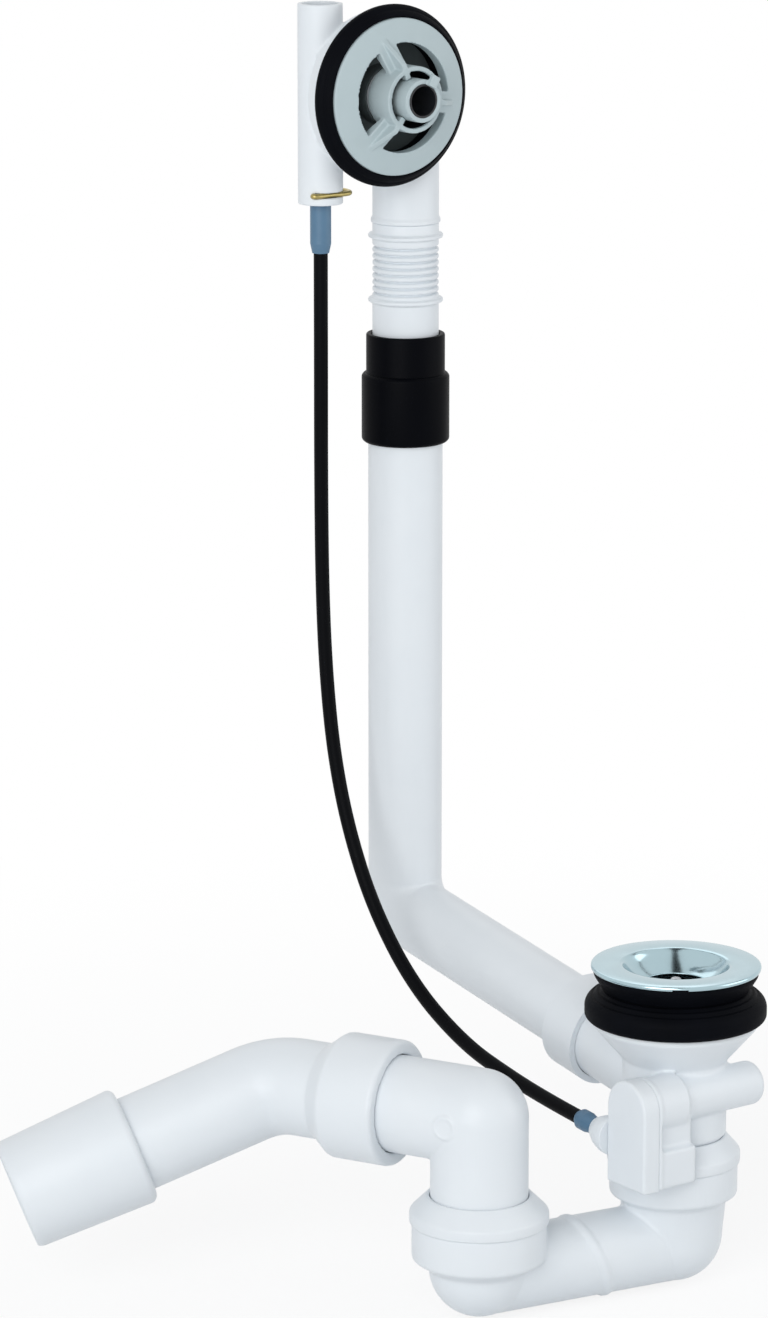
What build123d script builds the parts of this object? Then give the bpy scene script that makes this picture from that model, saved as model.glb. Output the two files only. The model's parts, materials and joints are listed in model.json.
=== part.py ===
import os
from math import atan2, cos, hypot, pi, radians, sin, tan

from build123d import *

os.makedirs("parts", exist_ok=True)

# Frame: Z is the waste axis and z = 0 is the underside of the flange, where it lands on the bath.
# The overflow stands at +Y and faces -Y, and the trap's second leg is at -X.

# Fits, all radial
running_fit = 0.1
socket_fit = 0.3
seal_fit = 0.15
thread_fit = 0.3
seat_fit = 0.05

# Waste flange with its tail, stem guide and seals
flange_diameter = 70.0
flange_thickness = 2.0
flange_edge = 1.2
bowl_diameter = 44.6
bowl_depth = 8.0
bowl_taper = 8.7
bowl_lip = 0.6
lip_thickness = 2.0
tail_diameter = 48.0
tail_length = 31.0
notch_width = 6.8
notch_height = 0.9
notch_angle = 234.0
guide_thickness = 3.0
guide_ring = 4.0
guide_hub_diameter = 11.0
guide_hub_height = 4.0
guide_spokes = 4
spoke_width = 3.0
stem_diameter = 5.0
stem_top_depth = 6.0
stem_foot_diameter = 6.0
seal_diameter = 68.0
seal_height = 8.5
seal_waist = 60.0
seal_rim = 2.0
gasket_diameter = 75.0
gasket_height = 12.5
gasket_side = 7.7
gasket_steps = 3
gasket_edge = 1.5
ridge_slope = 0.6

# Waste body
cup_diameter = 68.0
cup_rim = 2.5
cup_depth = 11.0
body_pipe_diameter = 43.0
body_wall = 2.5
body_length = 48.9
body_spigot_diameter = 40.0
body_spigot_length = 22.0
neck_depth = 17.0

# Branch to the overflow pipe
branch_depth = 47.5
branch_diameter = 36.0
branch_wall = 4.0
branch_throat = 22.0
branch_insert = 17.0
socket_diameter = 42.0
socket_mouth = 44.0
socket_length = 24.0
socket_cone = 5.0
socket_ring_section = 1.5
socket_ring_inset = 5.0

# Overflow pipe, coupling and corrugated connector
riser_distance = 188.3
bend_height = -17.2
pipe_diameter = 32.0
pipe_wall = 2.0
riser_bend_radius = 17.0
coupling_bottom = 191.0
coupling_grip = 21.0
coupling_lower_length = 30.0
coupling_upper_length = 17.0
coupling_lower_diameter = 37.7
coupling_upper_diameter = 33.8
coupling_edge = 1.2
coupling_stop = 2.0
coupling_ring_height = 2.5
coupling_ring_depth = 1.2
coupling_ring_inset = 6.0
spigot_diameter = 28.4
spigot_wall = 2.2
bead_diameter = 32.0
bead_height = 2.6
bead_gap = 14.6
corrugation_length = 27.7
spigot_gap = 5.7
spigot_lip_height = 1.8
spigot_lip_diameter = 29.8
groove_count = 8
groove_depth = 1.6
groove_flank = 0.3
groove_floor = 0.2
plug_length = 12.0

# Overflow head: plate, gasket, post and drive hub
head_x = -22.9
head_z = 343.5
head_front = 161.5
plate_diameter = 66.0
plate_thickness = 3.0
plate_edge = 0.8
plate_rise = 6.0
window_diameter = 46.0
window_spoke = 9.0
rib_count = 3
rib_angle = -9.0
rib_thickness = 2.4
rib_reach = 29.0
lug_depth = 4.0
hub_ring_diameter = 28.0
hub_ring_wall = 2.0
hub_ring_reach = 11.5
head_gasket_diameter = 76.5
head_gasket_bore = 48.0
head_gasket_thickness = 6.5
head_gasket_bevel = 2.0
lining = 0.8
pan_diameter = 70.0
pan_rim = 5.0
pan_depth = 5.0
partition = 2.3
post_wall = 2.6
post_recess = 10.5
sleeve_diameter = 18.0
sleeve_bore = 12.4
sleeve_reach = 17.0
sleeve_bore_depth = 20.0
liner_wall = 0.8
key_width = 4.0
key_length = 2.5
key_angle = 62.0
shaft_diameter = 10.0
shaft_square = 6.6
trunnion_diameter = 6.0
head_ring_section = 3.9

# Rack drive
gear_module = 1.4
gear_dedendum = 1.25
gear_teeth = 20
sector_teeth = 7
sector_half_angle = 60.0
gear_width = 8.0
gear_front_gap = 3.7
gear_rear_gap = 3.0
gear_hub_diameter = 13.0
pressure_angle = 20.0
flank_relief = 0.15
hub_swing = 45.0
rack_teeth = 6
rack_above = 20.0
rack_below = 24.0
rack_fit = 0.3
tube_diameter = 19.0
tube_wall = 2.0
rack_offset = 9.1
tube_drop = 45.5
tube_reach = 38.5
slot_play = 0.6
case_room = 2.6
case_wall = 2.0
case_reach = 7.9
case_corner = 4.0
lid_offset = 7.0
lid_thickness = 2.5
lid_floor = 1.0
screw_diameter = 3.0
screw_head_diameter = 5.6
screw_head_height = 1.8
screw_length = 8.0
screw_inset = 3.2

# Cable ends and clip
ferrule_diameter = 8.9
ferrule_length = 21.0
ferrule_tip = 4.0
ferrule_tip_diameter = 7.2
ferrule_collar_length = 11.0
core_diameter = 1.6
core_play = 0.5
core_in_ferrule = 21.0
nipple_diameter = 5.0
nipple_height = 4.0
clip_wire = 2.0
clip_room = 1.0
clip_height = 4.2
clip_half_span = 7.0
clip_leg_front = 9.0
clip_leg_back = 4.0
clip_leg_right = 5.2
cable_diameter = 6.1
cable_lead = 21.0
cable_arc_share = 0.45

# Lever case, shaft, finger and crank
shaft_y = -18.0
shaft_z = -49.0
rocker_diameter = 8.0
rocker_flat = 1.0
barrel_diameter = 18.3
barrel_end = 27.0
barrel_edge = 3.0
barrel_cap = 4.0
boss_diameter = 23.0
boss_end = -15.0
seam_x = -32.0
back_plate = 2.0
cover_depth = 8.0
cover_wall = 1.8
cover_edge = 1.2
lever_case_width = 24.5
lever_case_drop = 33.0
shield_right = -12.0
shield_reach = 11.5
shield_drop = 17.0
shield_gap = 0.8
case_neck = 16.0
finger_reach = 18.0
finger_hub_diameter = 12.0
finger_width = 9.0
finger_tip_radius = 3.0
pocket_play = 0.8
stem_gap = 0.3
crank_reach = 16.0
crank_hub_diameter = 13.0
crank_tip_radius = 3.6
crank_width = 4.0
crank_inset = 1.2
crank_nipple_diameter = 3.6
shaft_ring_section = 1.8
gland_stand = 5.25
gland_drop = 14.5
gland_radius = 8.0
gland_shoulder = 6.9
gland_tip = 4.6
gland_tilt = 5.0
gland_spigot = 5.6
lower_ferrule_start = 6.0
lower_ferrule_length = 12.0
lower_ferrule_small = 6.0
lower_ferrule_large = 8.6

# Trap
trap_span = 92.0
trap_azimuth = 172.1
cap_cone_height = 6.9
cap_skirt = 4.5
cap_wall = 1.9
cap_top_wall = 1.2
cap_proud = 1.0
inlet_cap_gap = 0.8
inlet_collar_wall = 6.5
inlet_collar_height = 24.8
inlet_collar_cone = 2.5
outlet_leg_height = 51.3
outlet_collar_wall = 7.5
outlet_collar_height = 26.3
lip_seal_height = 5.5
lip_seal_depth = 3.4
socket_floor = 2.0
leg_diameter = 44.0
corner_diameter = 41.0
tube_od = 34.0
trap_wall = 2.2
trap_bottom = -134.0
seam_distance = 42.4
seam_width = 2.6
seam_height = 0.9
seam_lean = 20.0

# Outlet elbow, 45 degree bend and end sleeve
outlet_diameter = 40.0
outlet_wall = 2.2
outlet_rise = 32.7
outlet_azimuth = 115.5
elbow_insert = 22.0
elbow_reach = 58.0
gate_mark_diameter = 10.0
gate_mark_depth = 0.4
gate_distance = 6.0
bend_grip = 21.0
bend_collar_diameter = 52.0
bend_collar_length = 25.0
bend_collar_cone = 8.0
bend_collar_edge = 1.2
bend_lead = 37.0
bend_radius = 28.0
bend_angle = 45.0
bend_roll = 30.0
tail_reach = 84.0
sleeve_start = 63.0
end_sleeve_length = 53.0
end_sleeve_large = 50.0
end_sleeve_small = 46.5
end_sleeve_edge = 2.0
end_sleeve_grip = 24.0
end_sleeve_wall = 2.4


def axial_plane(origin, along, across):
    # Plane whose X is a radius and whose Y runs along an axis.
    radius = Vector(*across)
    return Plane(origin=origin, x_dir=radius, z_dir=radius.cross(Vector(*along)))


def turn(plane, *points, mode=Mode.ADD):
    # Solid turned from (radius, distance along the axis) points.
    with BuildSketch(plane) as outline:
        with BuildLine():
            Polyline(*points, close=True)
        make_face()
    revolve(outline.sketch, axis=Axis(plane.origin, plane.y_dir), mode=mode)


def rod(plane, radius, start, end, mode=Mode.ADD):
    turn(plane, (0, start), (radius, start), (radius, end), (0, end), mode=mode)


def o_ring(plane, inner_radius, section, distance):
    # Torus about a plane's Y axis.
    with BuildSketch(plane) as outline:
        with Locations((inner_radius + section / 2, distance)):
            Circle(section / 2)
    revolve(outline.sketch, axis=Axis(plane.origin, plane.y_dir))


def block(x0, x1, y0, y1, z0, z1, mode=Mode.ADD):
    with Locations((x0, y0, z0)):
        Box(x1 - x0, y1 - y0, z1 - z0, align=Align.MIN, mode=mode)


def save(piece, name):
    piece.part.label = name
    export_step(piece.part, f"parts/{name}.step")


# Levels of the waste stack
flange_top = flange_thickness
bowl_floor = flange_top - bowl_depth
lip_bottom = bowl_floor - lip_thickness
gasket_top = -seal_height
body_top = gasket_top - gasket_height
pipe_start = body_top - neck_depth
spigot_start = body_top - body_length
spigot_end = spigot_start - body_spigot_length
tail_radius = tail_diameter / 2
tail_bore = bowl_diameter / 2
cup_bore = tail_radius + thread_fit
body_radius = body_pipe_diameter / 2
body_bore = body_radius - body_wall
inlet_collar_diameter = body_spigot_diameter + 2 * inlet_collar_wall
inlet_collar = inlet_collar_diameter / 2
waste_axis = axial_plane((0, 0, 0), (0, 0, 1), (1, 0, 0))

# Chrome flange: rim, conical bowl, inner lip and tail
with BuildPart() as waste_flange:
    turn(
        waste_axis,
        (bowl_diameter / 2, flange_top),
        (flange_diameter / 2, flange_top),
        (flange_diameter / 2, 0),
        (tail_radius, 0),
        (tail_radius, -tail_length),
        (tail_bore, -tail_length),
        (tail_bore, lip_bottom),
        (bowl_diameter / 2 - bowl_taper - bowl_lip, lip_bottom),
        (bowl_diameter / 2 - bowl_taper - bowl_lip, bowl_floor),
        (bowl_diameter / 2 - bowl_taper, bowl_floor),
    )
    top_edges = waste_flange.edges().filter_by(GeomType.CIRCLE).group_by(Axis.Z)[-1]
    fillet(top_edges, flange_edge)
    with BuildSketch(Plane.XY.rotated((0, 0, notch_angle))):
        with Locations((flange_diameter / 2, 0)):
            Rectangle(flange_edge * 2, notch_width)
    extrude(amount=notch_height, mode=Mode.SUBTRACT)
save(waste_flange, "waste_flange")

# Guide that hangs under the lip of the bowl and steers the stem
guide_bottom = lip_bottom - guide_thickness
guide_radius = tail_bore - running_fit
with BuildPart() as stem_guide:
    with BuildSketch(Plane.XY.offset(guide_bottom)):
        Circle(guide_radius)
        Circle(guide_radius - guide_ring, mode=Mode.SUBTRACT)
        with PolarLocations(guide_radius / 2, guide_spokes):
            Rectangle(guide_radius - guide_ring / 2, spoke_width)
    extrude(amount=guide_thickness)
    rod(waste_axis, guide_hub_diameter / 2, guide_bottom, guide_bottom + guide_hub_height)
    rod(
        waste_axis,
        stem_diameter / 2 + running_fit,
        guide_bottom,
        guide_bottom + guide_hub_height,
        mode=Mode.SUBTRACT,
    )
save(stem_guide, "stem_guide")

# Soft seal under the flange rim
seal_bore = tail_radius + socket_fit
with BuildPart() as flange_seal:
    turn(
        waste_axis,
        (seal_bore, 0),
        (seal_diameter / 2, 0),
        (seal_diameter / 2, -seal_rim),
        (seal_waist / 2, gasket_top),
        (seal_bore, gasket_top),
    )
save(flange_seal, "flange_seal")

# Thick gasket between the bath and the waste body, with concentric ridges on its upper side
gasket_radius = gasket_diameter / 2
ridge_width = (gasket_radius - seal_waist / 2) / gasket_steps
ridge_height = (gasket_height - gasket_side) / gasket_steps
ridges = []
for step in range(gasket_steps):
    ridge_radius = seal_waist / 2 + step * ridge_width
    ridge_top = gasket_top - step * ridge_height
    ridges += [(ridge_radius, ridge_top), (ridge_radius + ridge_width * ridge_slope, ridge_top - ridge_height)]
with BuildPart() as bath_gasket:
    turn(
        waste_axis,
        (seal_bore, gasket_top),
        *ridges,
        (gasket_radius, body_top + gasket_side),
        (gasket_radius, body_top + gasket_edge),
        (gasket_radius - gasket_edge, body_top),
        (seal_bore, body_top),
    )
save(bath_gasket, "bath_gasket")

# Directions of the branch and of the overflow pipe
branch_rise = atan2(bend_height + branch_depth, riser_distance)
branch_along = (0, cos(branch_rise), sin(branch_rise))
branch_axis = axial_plane((0, 0, -branch_depth), branch_along, (1, 0, 0))
leg_length = hypot(riser_distance, bend_height + branch_depth)
branch_end = socket_mouth + branch_insert
branch_radius = branch_diameter / 2
branch_bore = branch_radius - branch_wall

# Lever shaft: rest angle, swing and lift follow from the rack's travel
pitch_radius = gear_module * gear_teeth / 2
rack_travel = pitch_radius * radians(hub_swing)
lever_swing = rack_travel / crank_reach
lever_rest = -lever_swing / 2
shaft_axis = axial_plane((0, shaft_y, shaft_z), (1, 0, 0), (0, 1, 0))
rocker_radius = rocker_diameter / 2
shaft_bore = rocker_radius + running_fit
pocket_radius = finger_hub_diameter / 2 + pocket_play
pocket_half = finger_width / 2 + pocket_play
case_back = seam_x + back_plate
case_side = shaft_y + lever_case_width / 2
shield_front = shaft_y - shield_reach
shield_top = shaft_z - shield_drop
shield_bottom = shaft_z - lever_case_drop
ring_seat = rocker_radius + running_fit + shaft_ring_section + running_fit


def case_outline(distance, inset=0.0):
    # Upright outline with a round top, centred on the lever shaft.
    radius = lever_case_width / 2 - inset
    drop = lever_case_drop - inset
    with BuildSketch(Plane((distance, shaft_y, shaft_z), x_dir=(0, 1, 0), z_dir=(1, 0, 0))) as outline:
        Circle(radius)
        with Locations((0, -drop / 2)):
            Rectangle(2 * radius, drop)
    return outline.sketch


# White waste body: cup, pipe, branch, shaft barrel, back of the lever case and shield
with BuildPart() as waste_body:
    turn(
        waste_axis,
        (0, body_top),
        (cup_diameter / 2, body_top),
        (cup_diameter / 2, body_top - cup_rim),
        (cup_bore + body_wall, body_top - cup_depth),
        (body_radius, pipe_start),
        (body_radius, spigot_start),
        (body_spigot_diameter / 2, spigot_start),
        (body_spigot_diameter / 2, spigot_end),
        (0, spigot_end),
    )
    rod(branch_axis, branch_radius, 0, branch_end)
    rod(waste_axis, gasket_radius + socket_fit, body_top, 0, mode=Mode.SUBTRACT)
    rod(shaft_axis, barrel_diameter / 2, case_back, barrel_end)
    barrel_rim = waste_body.edges().filter_by(GeomType.CIRCLE).sort_by(Axis.X)[-1]
    fillet(barrel_rim, barrel_edge)
    rod(shaft_axis, boss_diameter / 2, case_back, boss_end)
    extrude(case_outline(seam_x), amount=back_plate)
    block(case_back, shield_right, shield_front, case_side, shield_bottom, shield_top)
    block(case_back, shield_right, shaft_y - case_neck / 2, case_side, shield_top, shaft_z)
    collar_clear = inlet_collar + cap_proud + shield_gap
    rod(waste_axis, collar_clear, shield_bottom, spigot_start, mode=Mode.SUBTRACT)
    rod(waste_axis, body_spigot_diameter / 2, spigot_end, spigot_start)
    turn(
        waste_axis,
        (0, body_top),
        (cup_bore, body_top),
        (cup_bore, -tail_length - thread_fit),
        (body_bore, pipe_start),
        (body_bore, spigot_start),
        (body_spigot_diameter / 2 - body_wall, spigot_start),
        (body_spigot_diameter / 2 - body_wall, spigot_end),
        (0, spigot_end),
        mode=Mode.SUBTRACT,
    )
    rod(branch_axis, branch_throat / 2, 0, branch_end, mode=Mode.SUBTRACT)
    rod(branch_axis, branch_bore, socket_mouth, branch_end, mode=Mode.SUBTRACT)
    rod(shaft_axis, shaft_bore, seam_x, barrel_end - barrel_cap, mode=Mode.SUBTRACT)
    rod(shaft_axis, pocket_radius, -pocket_half, pocket_half, mode=Mode.SUBTRACT)
    ring_room = shaft_ring_section + 2 * running_fit
    rod(shaft_axis, ring_seat, seam_x, case_back + ring_room, mode=Mode.SUBTRACT)
save(waste_body, "waste_body")

with BuildPart() as shaft_seal:
    o_ring(shaft_axis, shaft_bore, shaft_ring_section, case_back + ring_room / 2)
save(shaft_seal, "shaft_seal")


def flatted_circle(plane, radius, gap=0.0):
    # Round section with one flat, which drives the crank and the finger.
    with BuildSketch(plane) as section:
        Circle(radius + gap)
        with Locations((radius - rocker_flat + gap + radius, 0)):
            Rectangle(2 * radius, 4 * radius, mode=Mode.SUBTRACT)
    return section.sketch


def lever_plane(distance, angle):
    # Plane across the lever shaft with its X turned by an angle from +Y.
    return Plane((distance, shaft_y, shaft_z), x_dir=(0, cos(angle), sin(angle)), z_dir=(1, 0, 0))


# Shaft from the crank to the blind end of the barrel
crank_back = seam_x - crank_inset
crank_front = crank_back - crank_width
shaft_end = barrel_end - barrel_cap - pocket_play
with BuildPart() as rocker_shaft:
    extrude(flatted_circle(lever_plane(crank_front, lever_rest), rocker_radius), amount=crank_width)
    rod(shaft_axis, rocker_radius, crank_back, -finger_width / 2)
    extrude(flatted_circle(lever_plane(-finger_width / 2, lever_rest), rocker_radius), amount=finger_width)
    rod(shaft_axis, rocker_radius, finger_width / 2, shaft_end)
save(rocker_shaft, "rocker_shaft")


# Finger with a straight, round-ended arm inside the waste pipe
with BuildPart() as rocker_finger:
    finger_plane = lever_plane(-finger_width / 2, lever_rest)
    with BuildSketch(finger_plane):
        Circle(finger_hub_diameter / 2)
        with Locations((finger_reach / 2, 0)):
            SlotCenterToCenter(finger_reach, 2 * finger_tip_radius)
    extrude(amount=finger_width)
    finger_hole = flatted_circle(finger_plane, rocker_radius, seat_fit)
    extrude(finger_hole, amount=finger_width, mode=Mode.SUBTRACT)
save(rocker_finger, "rocker_finger")

# Crank in the lever case, pulled by the cable
crank_rest = lever_rest - pi / 2
with BuildPart() as crank_arm:
    crank_plane = lever_plane(crank_front, crank_rest)
    with BuildSketch(crank_plane):
        Circle(crank_hub_diameter / 2)
        with Locations((crank_reach, 0)):
            Circle(crank_tip_radius)
        make_hull()
        with Locations((crank_reach, 0)):
            Circle(crank_nipple_diameter / 2 + seat_fit, mode=Mode.SUBTRACT)
    extrude(amount=crank_width)
    shaft_hole = flatted_circle(lever_plane(crank_front, lever_rest), rocker_radius, seat_fit)
    extrude(shaft_hole, amount=crank_width, mode=Mode.SUBTRACT)
save(crank_arm, "crank_arm")

with BuildPart() as crank_nipple:
    with BuildSketch(crank_plane):
        with Locations((crank_reach, 0)):
            Circle(crank_nipple_diameter / 2)
    extrude(amount=crank_width)
save(crank_nipple, "crank_nipple")

# Stem that stands on the finger's tip and carries the plug
tip_height = shaft_z + finger_reach * sin(lever_rest)
foot_radius = stem_foot_diameter / 2
foot_height = tip_height + finger_tip_radius + stem_gap + foot_radius
stem_top = flange_top - stem_top_depth
with BuildPart() as lift_stem:
    rod(waste_axis, stem_diameter / 2, foot_height, stem_top)
    with Locations((0, 0, foot_height)):
        Sphere(foot_radius)
    stem_rim = lift_stem.edges().filter_by(GeomType.CIRCLE).sort_by(Axis.Z)[-1]
    chamfer(stem_rim, stem_diameter / 6)
save(lift_stem, "lift_stem")

# Gland where the cable enters the lever case
gland_x = seam_x - cover_depth / 2
gland_y = case_side + gland_stand
gland_z = shaft_z - gland_drop
gland_along = (0, cos(radians(gland_tilt)), sin(radians(gland_tilt)))
gland_axis = axial_plane((gland_x, gland_y, gland_z), gland_along, (1, 0, 0))
entry_axis = axial_plane((gland_x, case_side, gland_z), (0, 1, 0), (1, 0, 0))

with BuildPart() as lever_cover:
    extrude(case_outline(seam_x), amount=-cover_depth)
    cover_rim = lever_cover.faces().sort_by(Axis.X)[0].edges()
    fillet(cover_rim, cover_edge)
    extrude(case_outline(seam_x, cover_wall), amount=cover_wall - cover_depth, mode=Mode.SUBTRACT)
    rod(entry_axis, gland_spigot / 2 + seat_fit, -cover_wall, 0, mode=Mode.SUBTRACT)
save(lever_cover, "lever_cover")

with BuildPart() as cable_gland:
    turn(
        gland_axis,
        (0, -gland_stand - cover_wall),
        (gland_radius, -gland_stand - cover_wall),
        (gland_radius, -gland_stand / 2),
        (gland_shoulder, lower_ferrule_start / 4),
        (gland_tip, lower_ferrule_start),
        (0, lower_ferrule_start),
    )
    rod(entry_axis, gland_radius * 2, -gland_radius * 2, seat_fit, mode=Mode.SUBTRACT)
    rod(entry_axis, gland_spigot / 2, -cover_wall, gland_radius / 2)
    rod(gland_axis, core_diameter / 2 + core_play, 0, gland_radius * 2, mode=Mode.SUBTRACT)
    rod(entry_axis, core_diameter / 2 + core_play, -cover_wall, gland_radius, mode=Mode.SUBTRACT)
save(cable_gland, "cable_gland")

lower_ferrule_end = lower_ferrule_start + lower_ferrule_length
with BuildPart() as lower_ferrule:
    turn(
        gland_axis,
        (core_diameter / 2 + core_play, lower_ferrule_start),
        (lower_ferrule_small / 2, lower_ferrule_start),
        (lower_ferrule_large / 2, lower_ferrule_start + lower_ferrule_length / 2),
        (lower_ferrule_large / 2, lower_ferrule_end - lower_ferrule_length / 6),
        (cable_diameter / 2, lower_ferrule_end),
        (core_diameter / 2 + core_play, lower_ferrule_end),
    )
save(lower_ferrule, "lower_ferrule")

# Overflow pipe: socket on the branch, sloping leg, tight bend and riser
pipe_radius = pipe_diameter / 2
pipe_bore = pipe_radius - pipe_wall
pipe_top = coupling_bottom + coupling_grip
socket_end = socket_mouth + socket_length
socket_bore = branch_radius + socket_fit
ring_place = socket_mouth + socket_ring_inset
bend_point = (0, riser_distance, bend_height)


def leg_point(distance):
    return (0, branch_along[1] * distance, branch_along[2] * distance - branch_depth)


def bent_pipe(radius, start, top, mode=Mode.ADD):
    with BuildLine() as route:
        FilletPolyline(leg_point(start), bend_point, (0, riser_distance, top), radius=riser_bend_radius)
    with BuildSketch(Plane(leg_point(start), x_dir=(1, 0, 0), z_dir=branch_along)) as section:
        Circle(radius)
    sweep(section.sketch, path=route.wires()[0], mode=mode)


with BuildPart() as overflow_pipe:
    bent_pipe(pipe_radius, socket_end, pipe_top)
    turn(
        branch_axis,
        (0, socket_mouth),
        (socket_diameter / 2, socket_mouth),
        (socket_diameter / 2, socket_end - socket_cone),
        (pipe_radius, socket_end),
        (0, socket_end),
    )
    bent_pipe(pipe_bore, socket_mouth, pipe_top, mode=Mode.SUBTRACT)
    rod(branch_axis, socket_bore, socket_mouth, branch_end + socket_fit, mode=Mode.SUBTRACT)
    groove_half = socket_ring_section / 2 + running_fit
    groove_radius = branch_radius + seal_fit + socket_ring_section + running_fit
    rod(branch_axis, groove_radius, ring_place - groove_half, ring_place + groove_half, mode=Mode.SUBTRACT)
save(overflow_pipe, "overflow_pipe")

with BuildPart() as branch_seal:
    o_ring(branch_axis, branch_radius + seal_fit, socket_ring_section, ring_place)
save(branch_seal, "branch_seal")

# Coupling sleeve that joins the riser and the corrugated connector
riser_axis = axial_plane((0, riser_distance, 0), (0, 0, 1), (1, 0, 0))
spigot_radius = spigot_diameter / 2
coupling_step = coupling_bottom + coupling_lower_length
coupling_top = coupling_step + coupling_upper_length
connector_bottom = pipe_top + coupling_stop
upper_bore = spigot_radius + socket_fit
seal_bottom = coupling_top - coupling_ring_inset
with BuildPart() as coupling_sleeve:
    turn(
        riser_axis,
        (pipe_radius + socket_fit, coupling_bottom),
        (coupling_lower_diameter / 2 - coupling_edge, coupling_bottom),
        (coupling_lower_diameter / 2, coupling_bottom + coupling_edge),
        (coupling_lower_diameter / 2, coupling_step - coupling_edge),
        (coupling_lower_diameter / 2 - coupling_edge, coupling_step),
        (coupling_upper_diameter / 2, coupling_step),
        (coupling_upper_diameter / 2, coupling_top),
        (upper_bore, coupling_top),
        (upper_bore, seal_bottom + coupling_ring_height),
        (upper_bore + coupling_ring_depth, seal_bottom + coupling_ring_height),
        (upper_bore + coupling_ring_depth, seal_bottom),
        (upper_bore, seal_bottom),
        (upper_bore, connector_bottom),
        (pipe_bore, connector_bottom),
        (pipe_bore, pipe_top),
        (pipe_radius + socket_fit, pipe_top),
    )
save(coupling_sleeve, "coupling_sleeve")

with BuildPart() as coupling_seal:
    turn(
        riser_axis,
        (spigot_radius + seal_fit, seal_bottom + running_fit),
        (upper_bore + coupling_ring_depth - running_fit, seal_bottom + running_fit),
        (upper_bore + coupling_ring_depth - running_fit, seal_bottom + coupling_ring_height - running_fit),
        (spigot_radius + seal_fit, seal_bottom + coupling_ring_height - running_fit),
    )
save(coupling_seal, "coupling_seal")

# Corrugated connector: two beads with grooves between them, and a plug into the overflow body
spigot_bore = spigot_radius - spigot_wall
lower_bead = coupling_top + bead_gap
upper_bead = lower_bead + corrugation_length
spigot_bottom = upper_bead + spigot_gap
groove_start = lower_bead + bead_height
groove_pitch = (upper_bead - bead_height - groove_start) / groove_count


def bead(height):
    # Points of a bead on the connector's outside, from below.
    return [
        (spigot_radius, height - bead_height / 2),
        (bead_diameter / 2, height - bead_height / 4),
        (bead_diameter / 2, height + bead_height / 4),
        (spigot_radius, height + bead_height / 2),
    ]


grooves = []
for number in range(groove_count):
    groove_base = groove_start + number * groove_pitch
    grooves += [
        (spigot_radius, groove_base),
        (spigot_radius - groove_depth, groove_base + groove_pitch * groove_flank),
        (spigot_radius - groove_depth, groove_base + groove_pitch * (groove_flank + groove_floor)),
        (spigot_radius, groove_base + groove_pitch * (2 * groove_flank + groove_floor)),
    ]
connector_bore = spigot_bore - groove_depth
with BuildPart() as flexible_connector:
    turn(
        riser_axis,
        (connector_bore, connector_bottom),
        (spigot_radius, connector_bottom),
        *bead(lower_bead),
        *grooves,
        *bead(upper_bead),
        (spigot_radius, spigot_bottom),
        (spigot_bore - running_fit, spigot_bottom),
        (spigot_bore - running_fit, spigot_bottom + plug_length),
        (connector_bore, spigot_bottom + plug_length),
    )
save(flexible_connector, "flexible_connector")

# Overflow head, measured along +Y from the plate's face
head_axis = axial_plane((head_x, 0, head_z), (0, 1, 0), (1, 0, 0))
plate_back = head_front + plate_thickness
pan_front = plate_back + head_gasket_thickness
pan_floor = pan_front + pan_depth
pan_back = pan_floor + partition
hub_front = head_front - hub_ring_reach
hub_ring_radius = hub_ring_diameter / 2
post_radius = hub_ring_radius - hub_ring_wall - thread_fit
post_bore = sleeve_diameter / 2 + running_fit
post_front = hub_front + post_recess


def head_plane(depth):
    # Plane across the head's axis, seen from the front with X to the right.
    return Plane((head_x, depth, head_z), x_dir=(1, 0, 0), z_dir=(0, -1, 0))


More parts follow.
